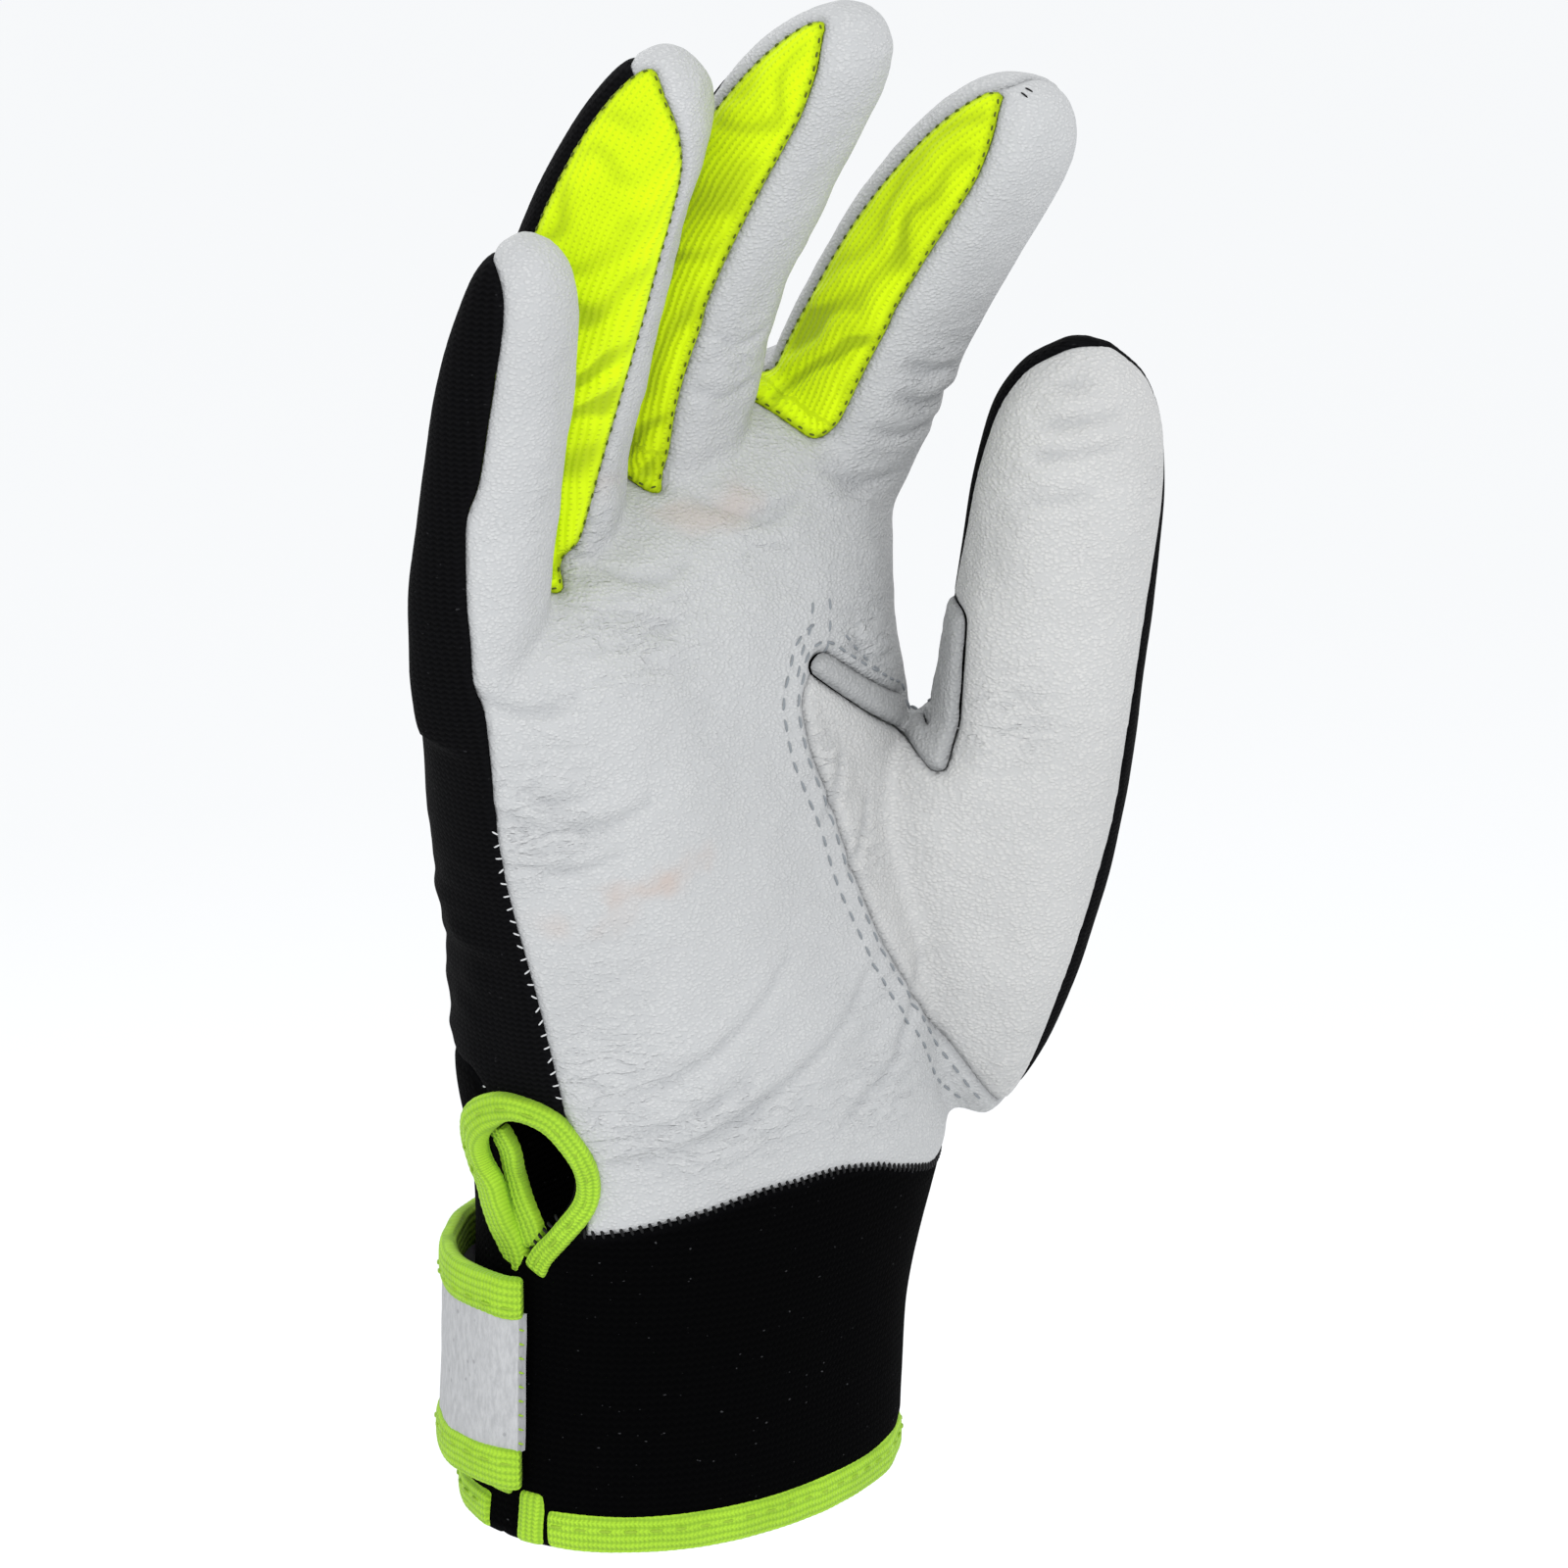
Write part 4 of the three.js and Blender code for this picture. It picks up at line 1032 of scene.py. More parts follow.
def seam_roll(seam, depth=0.55, width=0.75, puff=0.22, reach=3.5):
    """The surface dips into a seam and swells a little beside it."""
    return -depth * np.exp(-((seam / width) ** 2)) + puff * np.exp(-(((seam - reach) / reach) ** 2))


def contour(points, faces, values, level):
    """Chains of places where a value at the corners passes a level."""
    g = values - level
    g = np.where(np.abs(g) < 1e-7, 1e-7, g)
    side = g[faces] > 0
    mixed = side.any(axis=1) & ~side.all(axis=1)
    links = {}
    spots = {}
    for face in faces[mixed]:
        ends = []
        for k in range(3):
            i, j = int(face[k]), int(face[(k + 1) % 3])
            if (g[i] > 0) != (g[j] > 0):
                key = (min(i, j), max(i, j))
                t = g[i] / (g[i] - g[j])
                spots[key] = points[i] + (points[j] - points[i]) * t
                ends.append(key)
        if len(ends) == 2:
            links.setdefault(ends[0], []).append(ends[1])
            links.setdefault(ends[1], []).append(ends[0])
    lines = []
    seen = set()
    starts = [k for k, v in links.items() if len(v) == 1] + list(links)
    for start in starts:
        if start in seen:
            continue
        chain = [start]
        seen.add(start)
        here = start
        while True:
            onward = [k for k in links[here] if k not in seen]
            if not onward:
                break
            here = onward[0]
            seen.add(here)
            chain.append(here)
        if len(chain) > 3:
            lines.append(np.array([spots[k] for k in chain]))
    return lines


WAY_REACH = 0.7


def even_places(line, pitch):
    """Places a stitch apart along a line, with the way along it there."""
    run = run_along(line)
    at = np.arange(0.5 * pitch, run[-1], pitch)
    ahead, behind = (places_at(at + near, run, line) for near in (WAY_REACH, -WAY_REACH))
    return places_at(at, run, line), unit(ahead - behind)


# A stitch along X as shares of its length and radius: along, thickness, lift
STITCH_RINGS = [(-0.46, 0.6, -0.45), (-0.3, 1, 0.1), (0, 1.05, 0.3), (0.3, 1, 0.1), (0.46, 0.6, -0.45)]
STITCH_ENDS = [(-0.5, 0, -0.7), (0.5, 0, -0.7)]


def stitch_form(sides=6):
    """One stitch: a thread that dives in at both ends. Corners and faces."""
    points, faces = [], []
    for x, r, lift in STITCH_RINGS:
        for i in range(sides):
            a = 2 * math.pi * i / sides
            points.append((x, r * math.cos(a), r * math.sin(a) + lift))
    last = (len(STITCH_RINGS) - 1) * sides
    for k in range(0, last, sides):
        for i in range(sides):
            a, b = k + i, k + (i + 1) % sides
            faces.append((a, b, b + sides, a + sides))
    points += STITCH_ENDS
    for i in range(sides):
        faces.append(((i + 1) % sides, i, len(points) - 2))
        faces.append((last + i, last + (i + 1) % sides, len(points) - 1))
    return np.array(points), faces


def stitches(name, rows, thread, slot):
    """Stitches as one piece. Each row: places, ways along, ways out, length and radius."""
    form, form_faces = stitch_form()
    points, faces, count = [], [], 0
    for place, way, out, length, radius in rows:
        if len(place) == 0:
            continue
        way = unit(way - out * dots(way, out)[:, None])
        side = np.cross(out, way)
        for p, w, o, s in zip(place, way, out, side):
            points.append(
                p + np.outer(form[:, 0] * length, w) + np.outer(form[:, 1] * radius, s)
                + np.outer(form[:, 2] * radius, o)
            )
            faces += [tuple(i + count for i in face) for face in form_faces]
            count += len(form)
    piece = make_piece(name, np.vstack(points), faces)
    finished(piece, slot, finishes=[thread])


TAPE_SIDES, TAPE_SQUARENESS = 28, 3.2


def tape(name, stops, thickness, width, rib=0.1, rib_pitch=1.15, wave=0.0, seed=1):
    """A folded tape swept along stops of place and way out: ribbed across, closed at both ends."""
    places, outs = (np.array(column, float) for column in zip(*stops))
    way = unit(np.gradient(places, axis=0))
    outs = unit(outs - way * dots(outs, way)[:, None])
    wide = np.cross(way, outs)
    run = run_along(places)
    u, v = squared_circle(TAPE_SIDES, TAPE_SQUARENESS)
    ribs = np.sin(run * 2 * math.pi / rib_pitch) * rib
    wander = noise_at(np.stack([run, run * 0, run * 0], 1), 9, seed) * wave
    points = []
    ends = np.minimum(run, run[-1] - run)
    close = np.sqrt(np.clip(ends / 0.7, 0.02, 1))
    width = np.broadcast_to(width, len(places))
    for i in range(len(places)):
        thick = (thickness / 2 + ribs[i]) * (0.6 + 0.4 * close[i])
        half = (width[i] / 2 + ribs[i] * 0.4) * (0.85 + 0.15 * close[i])
        middle = places[i] + outs[i] * wander[i]
        points.append(middle + np.outer(u * thick, outs[i]) + np.outer(v * half, wide[i]))
    corners, faces = loft(np.array(points))
    weave = [np.repeat(run, TAPE_SIDES), np.outer(width / 2, v).ravel(), np.zeros(len(corners))]
    piece = make_piece(name, corners, faces, [("weave", np.stack(weave, 1))])
    right_way_out(piece)
    return piece, places, outs

# Finishes


def shaded(color, share):
    return tuple(c * share for c in color)


class Nodes:
    """A short way to lay out a material's nodes."""

    def __init__(self, name):
        self.material = bpy.data.materials.new(name)
        self.material.use_nodes = True
        self.tree = self.material.node_tree
        self.shader = self.tree.nodes["Principled BSDF"]

    def put(self, value, socket):
        """Links a socket's value or sets a plain one."""
        if isinstance(value, bpy.types.NodeSocket):
            self.tree.links.new(value, socket)
        elif socket.type == "RGBA" and len(value) == 3:
            socket.default_value = (*value, 1.0)
        else:
            socket.default_value = value

    def add(self, kind, inputs=None, **settings):
        node = self.tree.nodes.new(kind)
        for key, value in settings.items():
            setattr(node, key, value)
        for key, value in (inputs or {}).items():
            self.put(value, node.inputs[key])
        return node

    def math(self, operation, a, b=0.0, clamp=False):
        return self.add("ShaderNodeMath", {0: a, 1: b}, operation=operation, use_clamp=clamp).outputs[0]

    def times(self, a, b):
        return self.math("MULTIPLY", a, b)

    def rest(self, value, clamp=False):
        return self.math("SUBTRACT", 1.0, value, clamp)

    def ribs(self, along, pitch):
        return self.math("SINE", self.times(along, 2 * math.pi / pitch))

    def sway(self, vector, scale, amount):
        return self.times(self.math("SUBTRACT", self.noise(vector, scale, 2.0), 0.5), amount)

    def ramp(self, value, low, high, start=0.0, end=1.0):
        made = self.add(
            "ShaderNodeMapRange",
            {"Value": value, "From Min": low, "From Max": high, "To Min": start, "To Max": end},
            interpolation_type="SMOOTHSTEP",
        )
        return made.outputs["Result"]

    def mix(self, share, a, b):
        node = self.add("ShaderNodeMix", {0: share, 6: a, 7: b}, data_type="RGBA")
        return node.outputs[2]

    def cloudy(self, vector, scale, share, color):
        """A colour that slowly varies between itself and a share of itself."""
        cloud = self.ramp(self.noise(vector, scale, 3.0), 0.3, 0.7)
        return self.mix(cloud, shaded(color, share), color)

    def place(self):
        return self.add("ShaderNodeTexCoord").outputs["Object"]

    def stored(self, name):
        return self.add("ShaderNodeAttribute", attribute_name=name).outputs["Fac"]

    def weave(self):
        """The stored places along and across the cloth, in millimetres."""
        stored = self.add("ShaderNodeAttribute", attribute_name="weave").outputs["Vector"]
        return self.add("ShaderNodeSeparateXYZ", {0: stored}).outputs[:2]

    def scaled(self, vector, scale):
        node = self.add("ShaderNodeVectorMath", {0: vector, 1: scale}, operation="MULTIPLY")
        return node.outputs[0]

    def noise(self, vector, scale, detail=2.0, rough=0.5, distortion=0.0):
        inputs = {"Vector": vector, "Scale": scale, "Detail": detail, "Roughness": rough,
                  "Distortion": distortion}
        return self.add("ShaderNodeTexNoise", inputs).outputs["Fac"]

    def cells(self, vector, scale):
        node = self.add("ShaderNodeTexVoronoi", {"Vector": vector, "Scale": scale}, feature="F1")
        return node.outputs["Distance"]

    def wander(self, vector, scale, amount):
        """A vector pushed about by noise."""
        push = self.add("ShaderNodeTexNoise", {"Vector": vector, "Scale": scale, "Detail": 2.0})
        centred = self.add(
            "ShaderNodeVectorMath", {0: push.outputs["Color"], 1: (0.5, 0.5, 0.5)}, operation="SUBTRACT"
        )
        moved = self.add(
            "ShaderNodeVectorMath", {0: centred.outputs[0], 1: (amount,) * 3, 2: vector},
            operation="MULTIPLY_ADD",
        )
        return moved.outputs[0]

    def bump(self, height, distance, strength=1.0, under=None):
        node = self.add("ShaderNodeBump", {"Height": height, "Distance": distance, "Strength": strength})
        if under is not None:
            self.tree.links.new(under, node.inputs["Normal"])
        return node.outputs["Normal"]

    def surface(self, color, rough, normal=None, **fixed):
        self.put(color, self.shader.inputs["Base Color"])
        self.put(rough, self.shader.inputs["Roughness"])
        if normal is not None:
            self.put(normal, self.shader.inputs["Normal"])
        for key, value in fixed.items():
            self.put(value, self.shader.inputs[key.replace("_", " ")])
        return self.material


# Patterns by how many cells or waves they have to a metre
GRAIN, FINE_GRAIN, PUSH, WRINKLE, SOFT_LUMPS, CLOUDS = 1800.0, 3600.0, 420.0, 260.0, 240.0, 28.0
FUZZ, LINT, FIBRES, SPECKS, TWIST = 4200.0, 900.0, 1500.0, 520.0, 2500.0
STAIN_COLOR = (0.47, 0.39, 0.35)
LINT_COLOR = (0.15, 0.15, 0.16)


def leather_finish(name, light, shade, stained=False):
    """Goatskin: pebbled grain and fine lines where it is worn, with painted shade in those lines, in its
    folds and along its seams.
    """
    n = Nodes(name)
    place = n.place()
    pushed = n.scaled(n.wander(place, PUSH, 0.0006), (0.8, 0.8, 1.15))
    grain = n.ramp(n.cells(pushed, GRAIN), 0.15, 0.75, 1.0, 0.0)
    across = n.scaled(n.wander(place, 90.0, 0.003), (0.4, 0.4, 1.5))
    ridge = n.math("ABSOLUTE", n.math("SUBTRACT", n.noise(across, WRINKLE, 3.0, 0.55, 0.4), 0.5))
    worn = n.math("ADD", n.stored("wear"), n.ramp(n.noise(place, 45.0, 1.0), 0.5, 0.75, 0.0, 0.4))
    lines = n.math("MAXIMUM", n.ramp(ridge, 0.0, 0.05), n.rest(worn, True))
    seam = n.ramp(n.stored("seam"), 0.0, 1.3)
    tone = n.cloudy(place, CLOUDS, 0.93, light)
    tone = n.mix(n.ramp(grain, 0.0, 1.0, 0.3, 0.0), tone, shade)
    # painted shade in the fine wrinkle lines
    tone = n.mix(n.times(n.rest(lines), 0.3), tone, shade)
    # painted shade in the folds and creases, read from the stored column
    tone = n.mix(n.times(n.stored("dip"), 0.55), tone, shade)
    # painted shade in the groove along each seam
    tone = n.mix(n.times(n.rest(seam), 0.4), tone, shaded(shade, 0.7))
    if stained:
        stain = n.times(n.stored("stain"), n.ramp(n.noise(place, 150.0, 4.0), 0.35, 0.65))
        tone = n.mix(stain, tone, STAIN_COLOR)
    normal = n.bump(n.noise(place, SOFT_LUMPS, 3.0), 0.0005, 0.5)
    normal = n.bump(lines, 0.00022, 0.6, normal)
    normal = n.bump(grain, 0.00016, 0.75, normal)
    normal = n.bump(n.noise(place, FINE_GRAIN, 3.0), 0.00004, 0.5, normal)
    rough = n.ramp(grain, 0.0, 1.0, 0.7, 0.52)
    return n.surface(tone, rough, normal, Specular_IOR_Level=0.38)


def knit_finish(name, dark, light, pitch, lint, shine):
    """A stretch knit: wales of small loops of a pitch in millimetres, with a little lint."""
    n = Nodes(name)
    u, v = n.weave()
    place = n.place()
    wales = n.ribs(u, pitch)
    courses = n.math("SINE", n.math("ADD", n.times(v, 2 * math.pi / (pitch * 0.8)), wales))
    loops = n.times(n.math("ADD", n.times(wales, 0.25), n.times(courses, 0.75)), 0.5)
    spots = n.ramp(n.noise(n.scaled(place, (1.0, 1.0, 2.0)), LINT, 1.0), 0.755, 0.805)
    tone = n.mix(n.math("ADD", n.times(loops, 0.6), 0.3, clamp=True), dark, light)
    tone = n.mix(n.times(n.times(spots, n.noise(place, 60.0, 3.0)), lint), tone, LINT_COLOR)
    tone = n.mix(n.ramp(n.stored("seam"), 0.0, 1.5, 0.35, 0.0), tone, (0.006, 0.006, 0.007))
    normal = n.bump(loops, 0.00022, 0.7)
    normal = n.bump(n.noise(place, FUZZ, 2.0), 0.00006, 0.6, normal)
    return n.surface(tone, 0.9, normal, Specular_IOR_Level=shine, Sheen_Weight=shine / 8)


def mesh_finish(name, bright, deep):
    """Fluorescent tricot: fine wales along the finger with tiny holes, with painted shade in its folds
    and along its seams, and a faint painted glow.
    """
    n = Nodes(name)
    u, v = n.weave()
    place = n.place()
    wales = n.ribs(n.math("ADD", u, n.sway(place, 180.0, 1.2)), 0.95)
    rows = n.ribs(v, 0.8)
    holes = n.ramp(n.times(n.math("ADD", wales, 1.0), n.math("ADD", rows, 1.0)), 2.2, 3.6)
    tone = n.cloudy(place, 90.0, 0.88, bright)
    # painted shade in the folds
    tone = n.mix(n.times(n.rest(n.ramp(n.stored("fold"), -0.7, 0.15)), 0.6), tone, deep)
    tone = n.mix(n.times(holes, 0.38), tone, deep)
    # painted shade where the strip dips into its seams
    tone = n.mix(n.ramp(n.stored("seam"), 0.0, 1.4, 0.55, 0.0), tone, shaded(deep, 0.5))
    normal = n.bump(wales, 0.00016, 0.5)
    normal = n.bump(holes, 0.00012, -0.6, normal)
    # The faint emission is a painted glow for the fluorescent dye; the mesh is no lamp.
    return n.surface(tone, 0.7, normal, Specular_IOR_Level=0.12, Sheen_Weight=0.03,
                     Emission_Color=bright, Emission_Strength=0.05)


def tape_finish(name, bright, deep):
    """Folded knitted tape: ribs along it, each of slanting threads, with painted shade between the ribs.
    """
    n = Nodes(name)
    u, v = n.weave()
    place = n.place()
    ribs = n.ribs(n.math("ADD", v, n.sway(place, 160.0, 0.8)), 1.05)
    threads = n.math("SINE", n.math("ADD", n.times(u, 2 * math.pi / 0.62), ribs))
    tone = n.cloudy(place, 130.0, 0.88, bright)
    # painted shade between the ribs
    tone = n.mix(n.ramp(ribs, -1.0, -0.2, 0.5, 0.0), tone, deep)
    tone = n.mix(n.ramp(threads, -1.0, 0.0, 0.28, 0.0), tone, deep)
    normal = n.bump(ribs, 0.00018, 0.6)
    normal = n.bump(threads, 0.00008, 0.6, normal)
    normal = n.bump(n.noise(place, 3000.0, 2.0), 0.00005, 0.5, normal)
    return n.surface(tone, 0.65, normal, Specular_IOR_Level=0.15, Sheen_Weight=0.04)


def strap_finish(name, light, speckle):
    """Brushed felt with darker fibres and specks."""
    n = Nodes(name)
    place = n.place()
    fibres = n.noise(n.scaled(place, (1.0, 1.0, 0.35)), FIBRES, 4.0, 0.7)
    dots = n.ramp(n.cells(place, SPECKS), 0.1, 0.24, 1.0, 0.0)
    dots = n.times(dots, n.ramp(n.noise(place, 420.0, 1.0), 0.5, 0.62))
    tone = n.mix(n.ramp(fibres, 0.3, 0.7, 0.0, 0.6), light, speckle)
    tone = n.mix(n.times(dots, 0.55), tone, shaded(speckle, 0.7))
    return n.surface(tone, 0.8, n.bump(fibres, 0.00008, 0.6), Specular_IOR_Level=0.15)


def lining_finish(name, dark, light):
    n = Nodes(name)
    place = n.place()
    ribs = n.noise(n.scaled(place, (1.0, 1.0, 0.3)), 700.0, 3.0)
    tone = n.mix(n.ramp(n.noise(place, 150.0, 3.0), 0.35, 0.7), dark, light)
    return n.surface(tone, 0.45, n.bump(ribs, 0.0002, 0.6), Specular_IOR_Level=0.5)


def thread_finish(name, color):
    n = Nodes(name)
    twist = n.noise(n.place(), TWIST, 2.0)
    tone = n.mix(twist, shaded(color, 0.75), color)
    return n.surface(tone, 0.55, n.bump(twist, 0.00005, 0.6), Specular_IOR_Level=0.1)

# Sizes and colours that a user would change


def tint(name, words, color):
    return bpy.props.FloatVectorProperty(
        name=name, description=words, default=color, size=3, min=0.0, max=1.0, subtype="COLOR"
    )


def length(name, words, default, low, high):
    return bpy.props.FloatProperty(
        name=name, description=words, default=default, min=low, max=high, precision=4,
        subtype="DISTANCE", unit="LENGTH",
    )


class GloveSettings(bpy.types.PropertyGroup):
    leather_wall: length("Leather wall", "Thickness of the leather panels", 0.0012, 0.0006, 0.0025)
    knit_wall: length("Knit wall", "Thickness of the knit and the strips", 0.001, 0.0005, 0.0025)
    cuff_wall: length("Cuff wall", "Thickness of the padded cuff", 0.0022, 0.001, 0.004)
    stitch_pitch: length("Stitch pitch", "Distance from stitch to stitch", 0.0031, 0.0015, 0.006)
    wrinkles: bpy.props.FloatProperty(
        name="Wrinkles", description="How deep the leather's dents and puckers are",
        default=1.0, min=0.0, max=2.0, subtype="FACTOR",
    )


class GloveColors(bpy.types.PropertyGroup):
    leather: tint("Leather", "The white goatskin's colour", (0.517, 0.524, 0.528))
    # Leather shade is the grain's colour, and also the painted shade in the wrinkle lines, folds and
    # seams.
    leather_shade: tint("Leather shade", "The leather's colour in its grain", (0.312, 0.322, 0.335))
    knit: tint("Knit", "The black back's colour", (0.0015, 0.0015, 0.0018))
    mesh: tint("Mesh", "The fluorescent finger sides' colour", (0.62, 0.84, 0.003))
    # Mesh shade is the colour of the holes, and also the painted shade in the folds and along the seams.
    mesh_shade_and_holes: tint("Mesh shade", "The finger sides' colour in folds and holes", (0.19, 0.27, 0.008))
    tape: tint("Tape", "The lime binding's colour", (0.38, 0.66, 0.035))
    # Tape shade is the colour between the threads, and also the painted shade between the ribs.
    tape_shade_and_threads: tint("Tape shade", "The binding's colour between its ribs", (0.15, 0.31, 0.02))
    strap: tint("Strap", "The wrist strap's colour", (0.47, 0.475, 0.485))


def settings():
    return bpy.context.scene.glove_settings


def millimetres(key):
    """One of the settings' lengths in the tables' unit."""
    return getattr(settings(), key) / MM


def colors():
    return bpy.context.scene.glove_colors


THREADS = {
    "white_thread": (0.66, 0.67, 0.68),
    "dark_thread": (0.012, 0.012, 0.013),
    "olive_thread": (0.10, 0.13, 0.02),
    "lime_thread": (0.30, 0.50, 0.04),
    "grey_thread": (0.27, 0.29, 0.31),
}
# The thumb's leather is the palm's made brighter and a little warmer: the brightness is painted light
# where the thumb faces the lamps, the warmth is its own tint.
THUMB_LIGHT_AND_TINT = (1.08, 1.065, 1.045)
KNIT_LIGHT, CUFF_LIGHT = (0.0065, 0.0065, 0.0072), (0.002, 0.002, 0.0021)
STRAP_SPECKLE = (0.3, 0.305, 0.315)
LINING_DARK, LINING_LIGHT = (0.05, 0.053, 0.058), (0.13, 0.137, 0.145)
FINISHES = {}


def finish(key):
    """The material of that name, made on its first use."""
    if key not in FINISHES:
        FINISHES[key] = thread_finish(key, THREADS[key]) if key in THREADS else cloth_finish(key)
    return FINISHES[key]


def cloth_finish(key):
    c = colors()
    leather, shade, knit = tuple(c.leather), tuple(c.leather_shade), tuple(c.knit)
    # a brighter copy of the leather, painted light, with a little warmth of its own
    thumb = tuple(x * share for x, share in zip(leather, THUMB_LIGHT_AND_TINT))
    make, *inputs = {
        "palm": (leather_finish, "goatskin_palm", leather, shade, True),
        "thumb": (leather_finish, "goatskin_thumb", thumb, shade),
        # The welt is the leather at 0.8 and its grain shade at 0.7: a painted shade of the crotch it
        # sits in.
        "welt": (leather_finish, "welt_leather", shaded(leather, 0.8), shaded(shade, 0.7)),
        "knit": (knit_finish, "black_knit", knit, KNIT_LIGHT, 1.0, 0.25, 0.03),
        "cuff": (knit_finish, "cuff_cloth", shaded(knit, 0.6), CUFF_LIGHT, 1.3, 0.5, 0.01),
        "mesh": (mesh_finish, "fluorescent_mesh", tuple(c.mesh), tuple(c.mesh_shade_and_holes)),
        "tape": (tape_finish, "binding_tape", tuple(c.tape), tuple(c.tape_shade_and_threads)),
        "strap": (strap_finish, "strap_felt", tuple(c.strap), STRAP_SPECKLE),
        "lining": (lining_finish, "lining", LINING_DARK, LINING_LIGHT),
    }[key]
    return make(*inputs)


# Pale stains on the palm: strength, width, then across and up along the smear
STAINS = [
    (0.75, 3.4, [(-34, 95.5), (-26, 97.5), (-18.5, 100.2)]),
    (0.45, 4.0, [(-38, 93.8), (-30, 95)]),
    (0.5, 4.2, [(-11, 146.6), (-4, 144), (2.5, 146.8)]),
    (0.35, 3.4, [(-28, 152.5), (-21, 151)]),
]

# Where the leather is finely wrinkled: across, up, how wide, how high, how strongly
WORN = {
    "palm_leather": [
        (-28, 149, 8, 12, 0.9), (-25, 131, 10, 8, 0.5), (-41, 107, 8, 8, 0.9), (-18, 61, 18, 7, 0.9),
        (-30, 70, 10, 6, 0.6), (14, 156, 9, 8, 0.6), (32, 157, 9, 11, 1.0), (24, 146, 11, 8, 0.5),
        (-1, 166, 9, 9, 0.5), (23, 120, 9, 8, 0.9), (14, 60, 15, 7, 0.7), (0, 142, 12, 6, 0.4),
    ],
    "thumb_leather": [
        (14, 96, 8, 8, 0.7), (8, 106, 6, 7, 0.7), (28, 112, 7, 6, 0.5), (40, 60, 9, 8, 0.3),
    ],
    "index_back": [(34, 156, 9, 12, 0.8)],
}


def stain_at(points):
    stain = np.zeros(len(points))
    for strength, width, line in STAINS:
        far, _ = line_distance(points[:, [0, 2]], np.array(line, float))
        far = far + noise_at(points, 5, 41, octaves=3.0) * 1.6
        stain = np.maximum(stain, strength * smooth_step(-far, -width, width * 0.1))
    return np.where(points[:, 1] < -4, stain, 0)


def wear_at(name, points):
    wear = np.zeros(len(points))
    for x, z, wide, high, strength in WORN[name]:
        far = np.hypot((points[:, 0] - x) / wide, (points[:, 2] - z) / high)
        wear = np.maximum(wear, strength * smooth_step(-far, -1.5, -0.2))
    return wear


WEAVE_RADIUS = 36
FINGER_REACH = 0.75
FAR_OFF = 1e9


def as_weave(u, v):
    """Places along and across the cloth as a column of vectors."""
    return np.stack([u, v, np.zeros(len(u))], 1)


def hand_weave(points):
    centre = hand_stations(points[:, 2] / HAND_HEIGHT)["centre"]
    turn = np.arctan2(points[:, 1] - centre[:, 1], points[:, 0] - centre[:, 0])
    return as_weave(turn % (2 * math.pi) * WEAVE_RADIUS, points[:, 2])


def finger_weave(points, names, starts):
    """Places along and across the nearest of some fingers, for cloth that runs along them."""
    weave = as_weave(-points[:, 1], points[:, 2])
    best = np.full(len(points), FAR_OFF)
    for name, start in zip(names, starts):
        where = digit_places(name, points)
        near = np.where(where["share"] > start, where["out"] / DIGITS[name]["width"], FAR_OFF)
        near = np.where(near < FINGER_REACH, near, FAR_OFF)
        use = near < best
        best = np.where(use, near, best)
        weave[use] = as_weave(where["y"], where["share"] * DIGITS[name]["length"])[use]
    return weave


# The white leather panels' finishes, and how wrinkled they are
PALM_PIECES = {
    "palm_leather": ("palm", 1.0),
    "thumb_leather": ("thumb", 1.0),
    "index_back": ("palm", 0.7),
}


def leather_panel(name):
    key, strength = PALM_PIECES[name]
    points, faces, normals, seam = panel_arrays(name)
    wear = wear_at(name, points)
    relief, dip = leather_relief(points, normals, seam, wear, strength * settings().wrinkles)
    # The fourth column is a painted shade for the puckers and creases.
    columns = [("seam", seam), ("stain", stain_at(points)), ("wear", wear), ("dip", dip)]
    points = points + normals * (relief + seam_roll(seam))[:, None]
    piece = make_piece(name + "_skin", points, faces, columns)
    walled(piece, millimetres("leather_wall"))
    finished(piece, "white_leather", name, finishes=[key])
    return points, faces, corner_normals(points, faces), seam


def knit_panel(name, key, slot, wall, weave, lined=False, amount=0.5, extra=None):
    points, faces, normals, seam = panel_arrays(name)
    fade = smooth_step(seam, 0.3, 4) * smooth_step(points[:, 2], 5, 13)
    relief = noise_at(points, 24, 5) * amount * fade
    relief = relief - 0.35 * smooth_step(-points[:, 2], -7, -5)
    if extra is not None:
        relief = relief + extra(points) * fade
    points = points + normals * (relief + seam_roll(seam, 0.4, 0.7, 0.15))[:, None]
    piece = make_piece(name + "_cloth", points, faces, [("seam", seam), ("weave", weave(points))])
    walled(piece, wall, lined)
    finished(piece, slot, name, finishes=[key, "lining"] if lined else [key])
    return points, faces, corner_normals(points, faces), seam


# More stitching beside the thumb's crotch: across and up
TOP_ROWS = [
    [(12.4, 131.5), (12.2, 128), (11, 123.7), (10, 120.3)],
    [(9, 131.5), (7.4, 127.4), (5.4, 124.6), (3.6, 120.4)],
    [(13, 122.2), (18, 118.2), (22.8, 114.4), (28.5, 109.6)],
    [(15, 125.4), (20, 121.2), (25.4, 116.8)],
]
# Where the index fingertip is sewn shut: across and up
INDEX_TIP_LINE = [(25.4, 202.0), (27.6, 203.2)]


def front_line(panel, line):
    """A line given across and up, laid on the front of a panel."""
    tree = BVHTree.FromPolygons([Vector(p) for p in panel[0]], [tuple(f) for f in panel[1]])
    fine = curve_through([(a, b, 0) for a, b in line], 60)[:, :2]
    hits = [tree.ray_cast(Vector((a, -120, b)), Vector((0, 1, 0)))[0] for a, b in fine]
    return np.array([h for h in hits if h is not None])


def near_normals(points, corners, normals):
    return normals[nearest(points, corners)[0]]


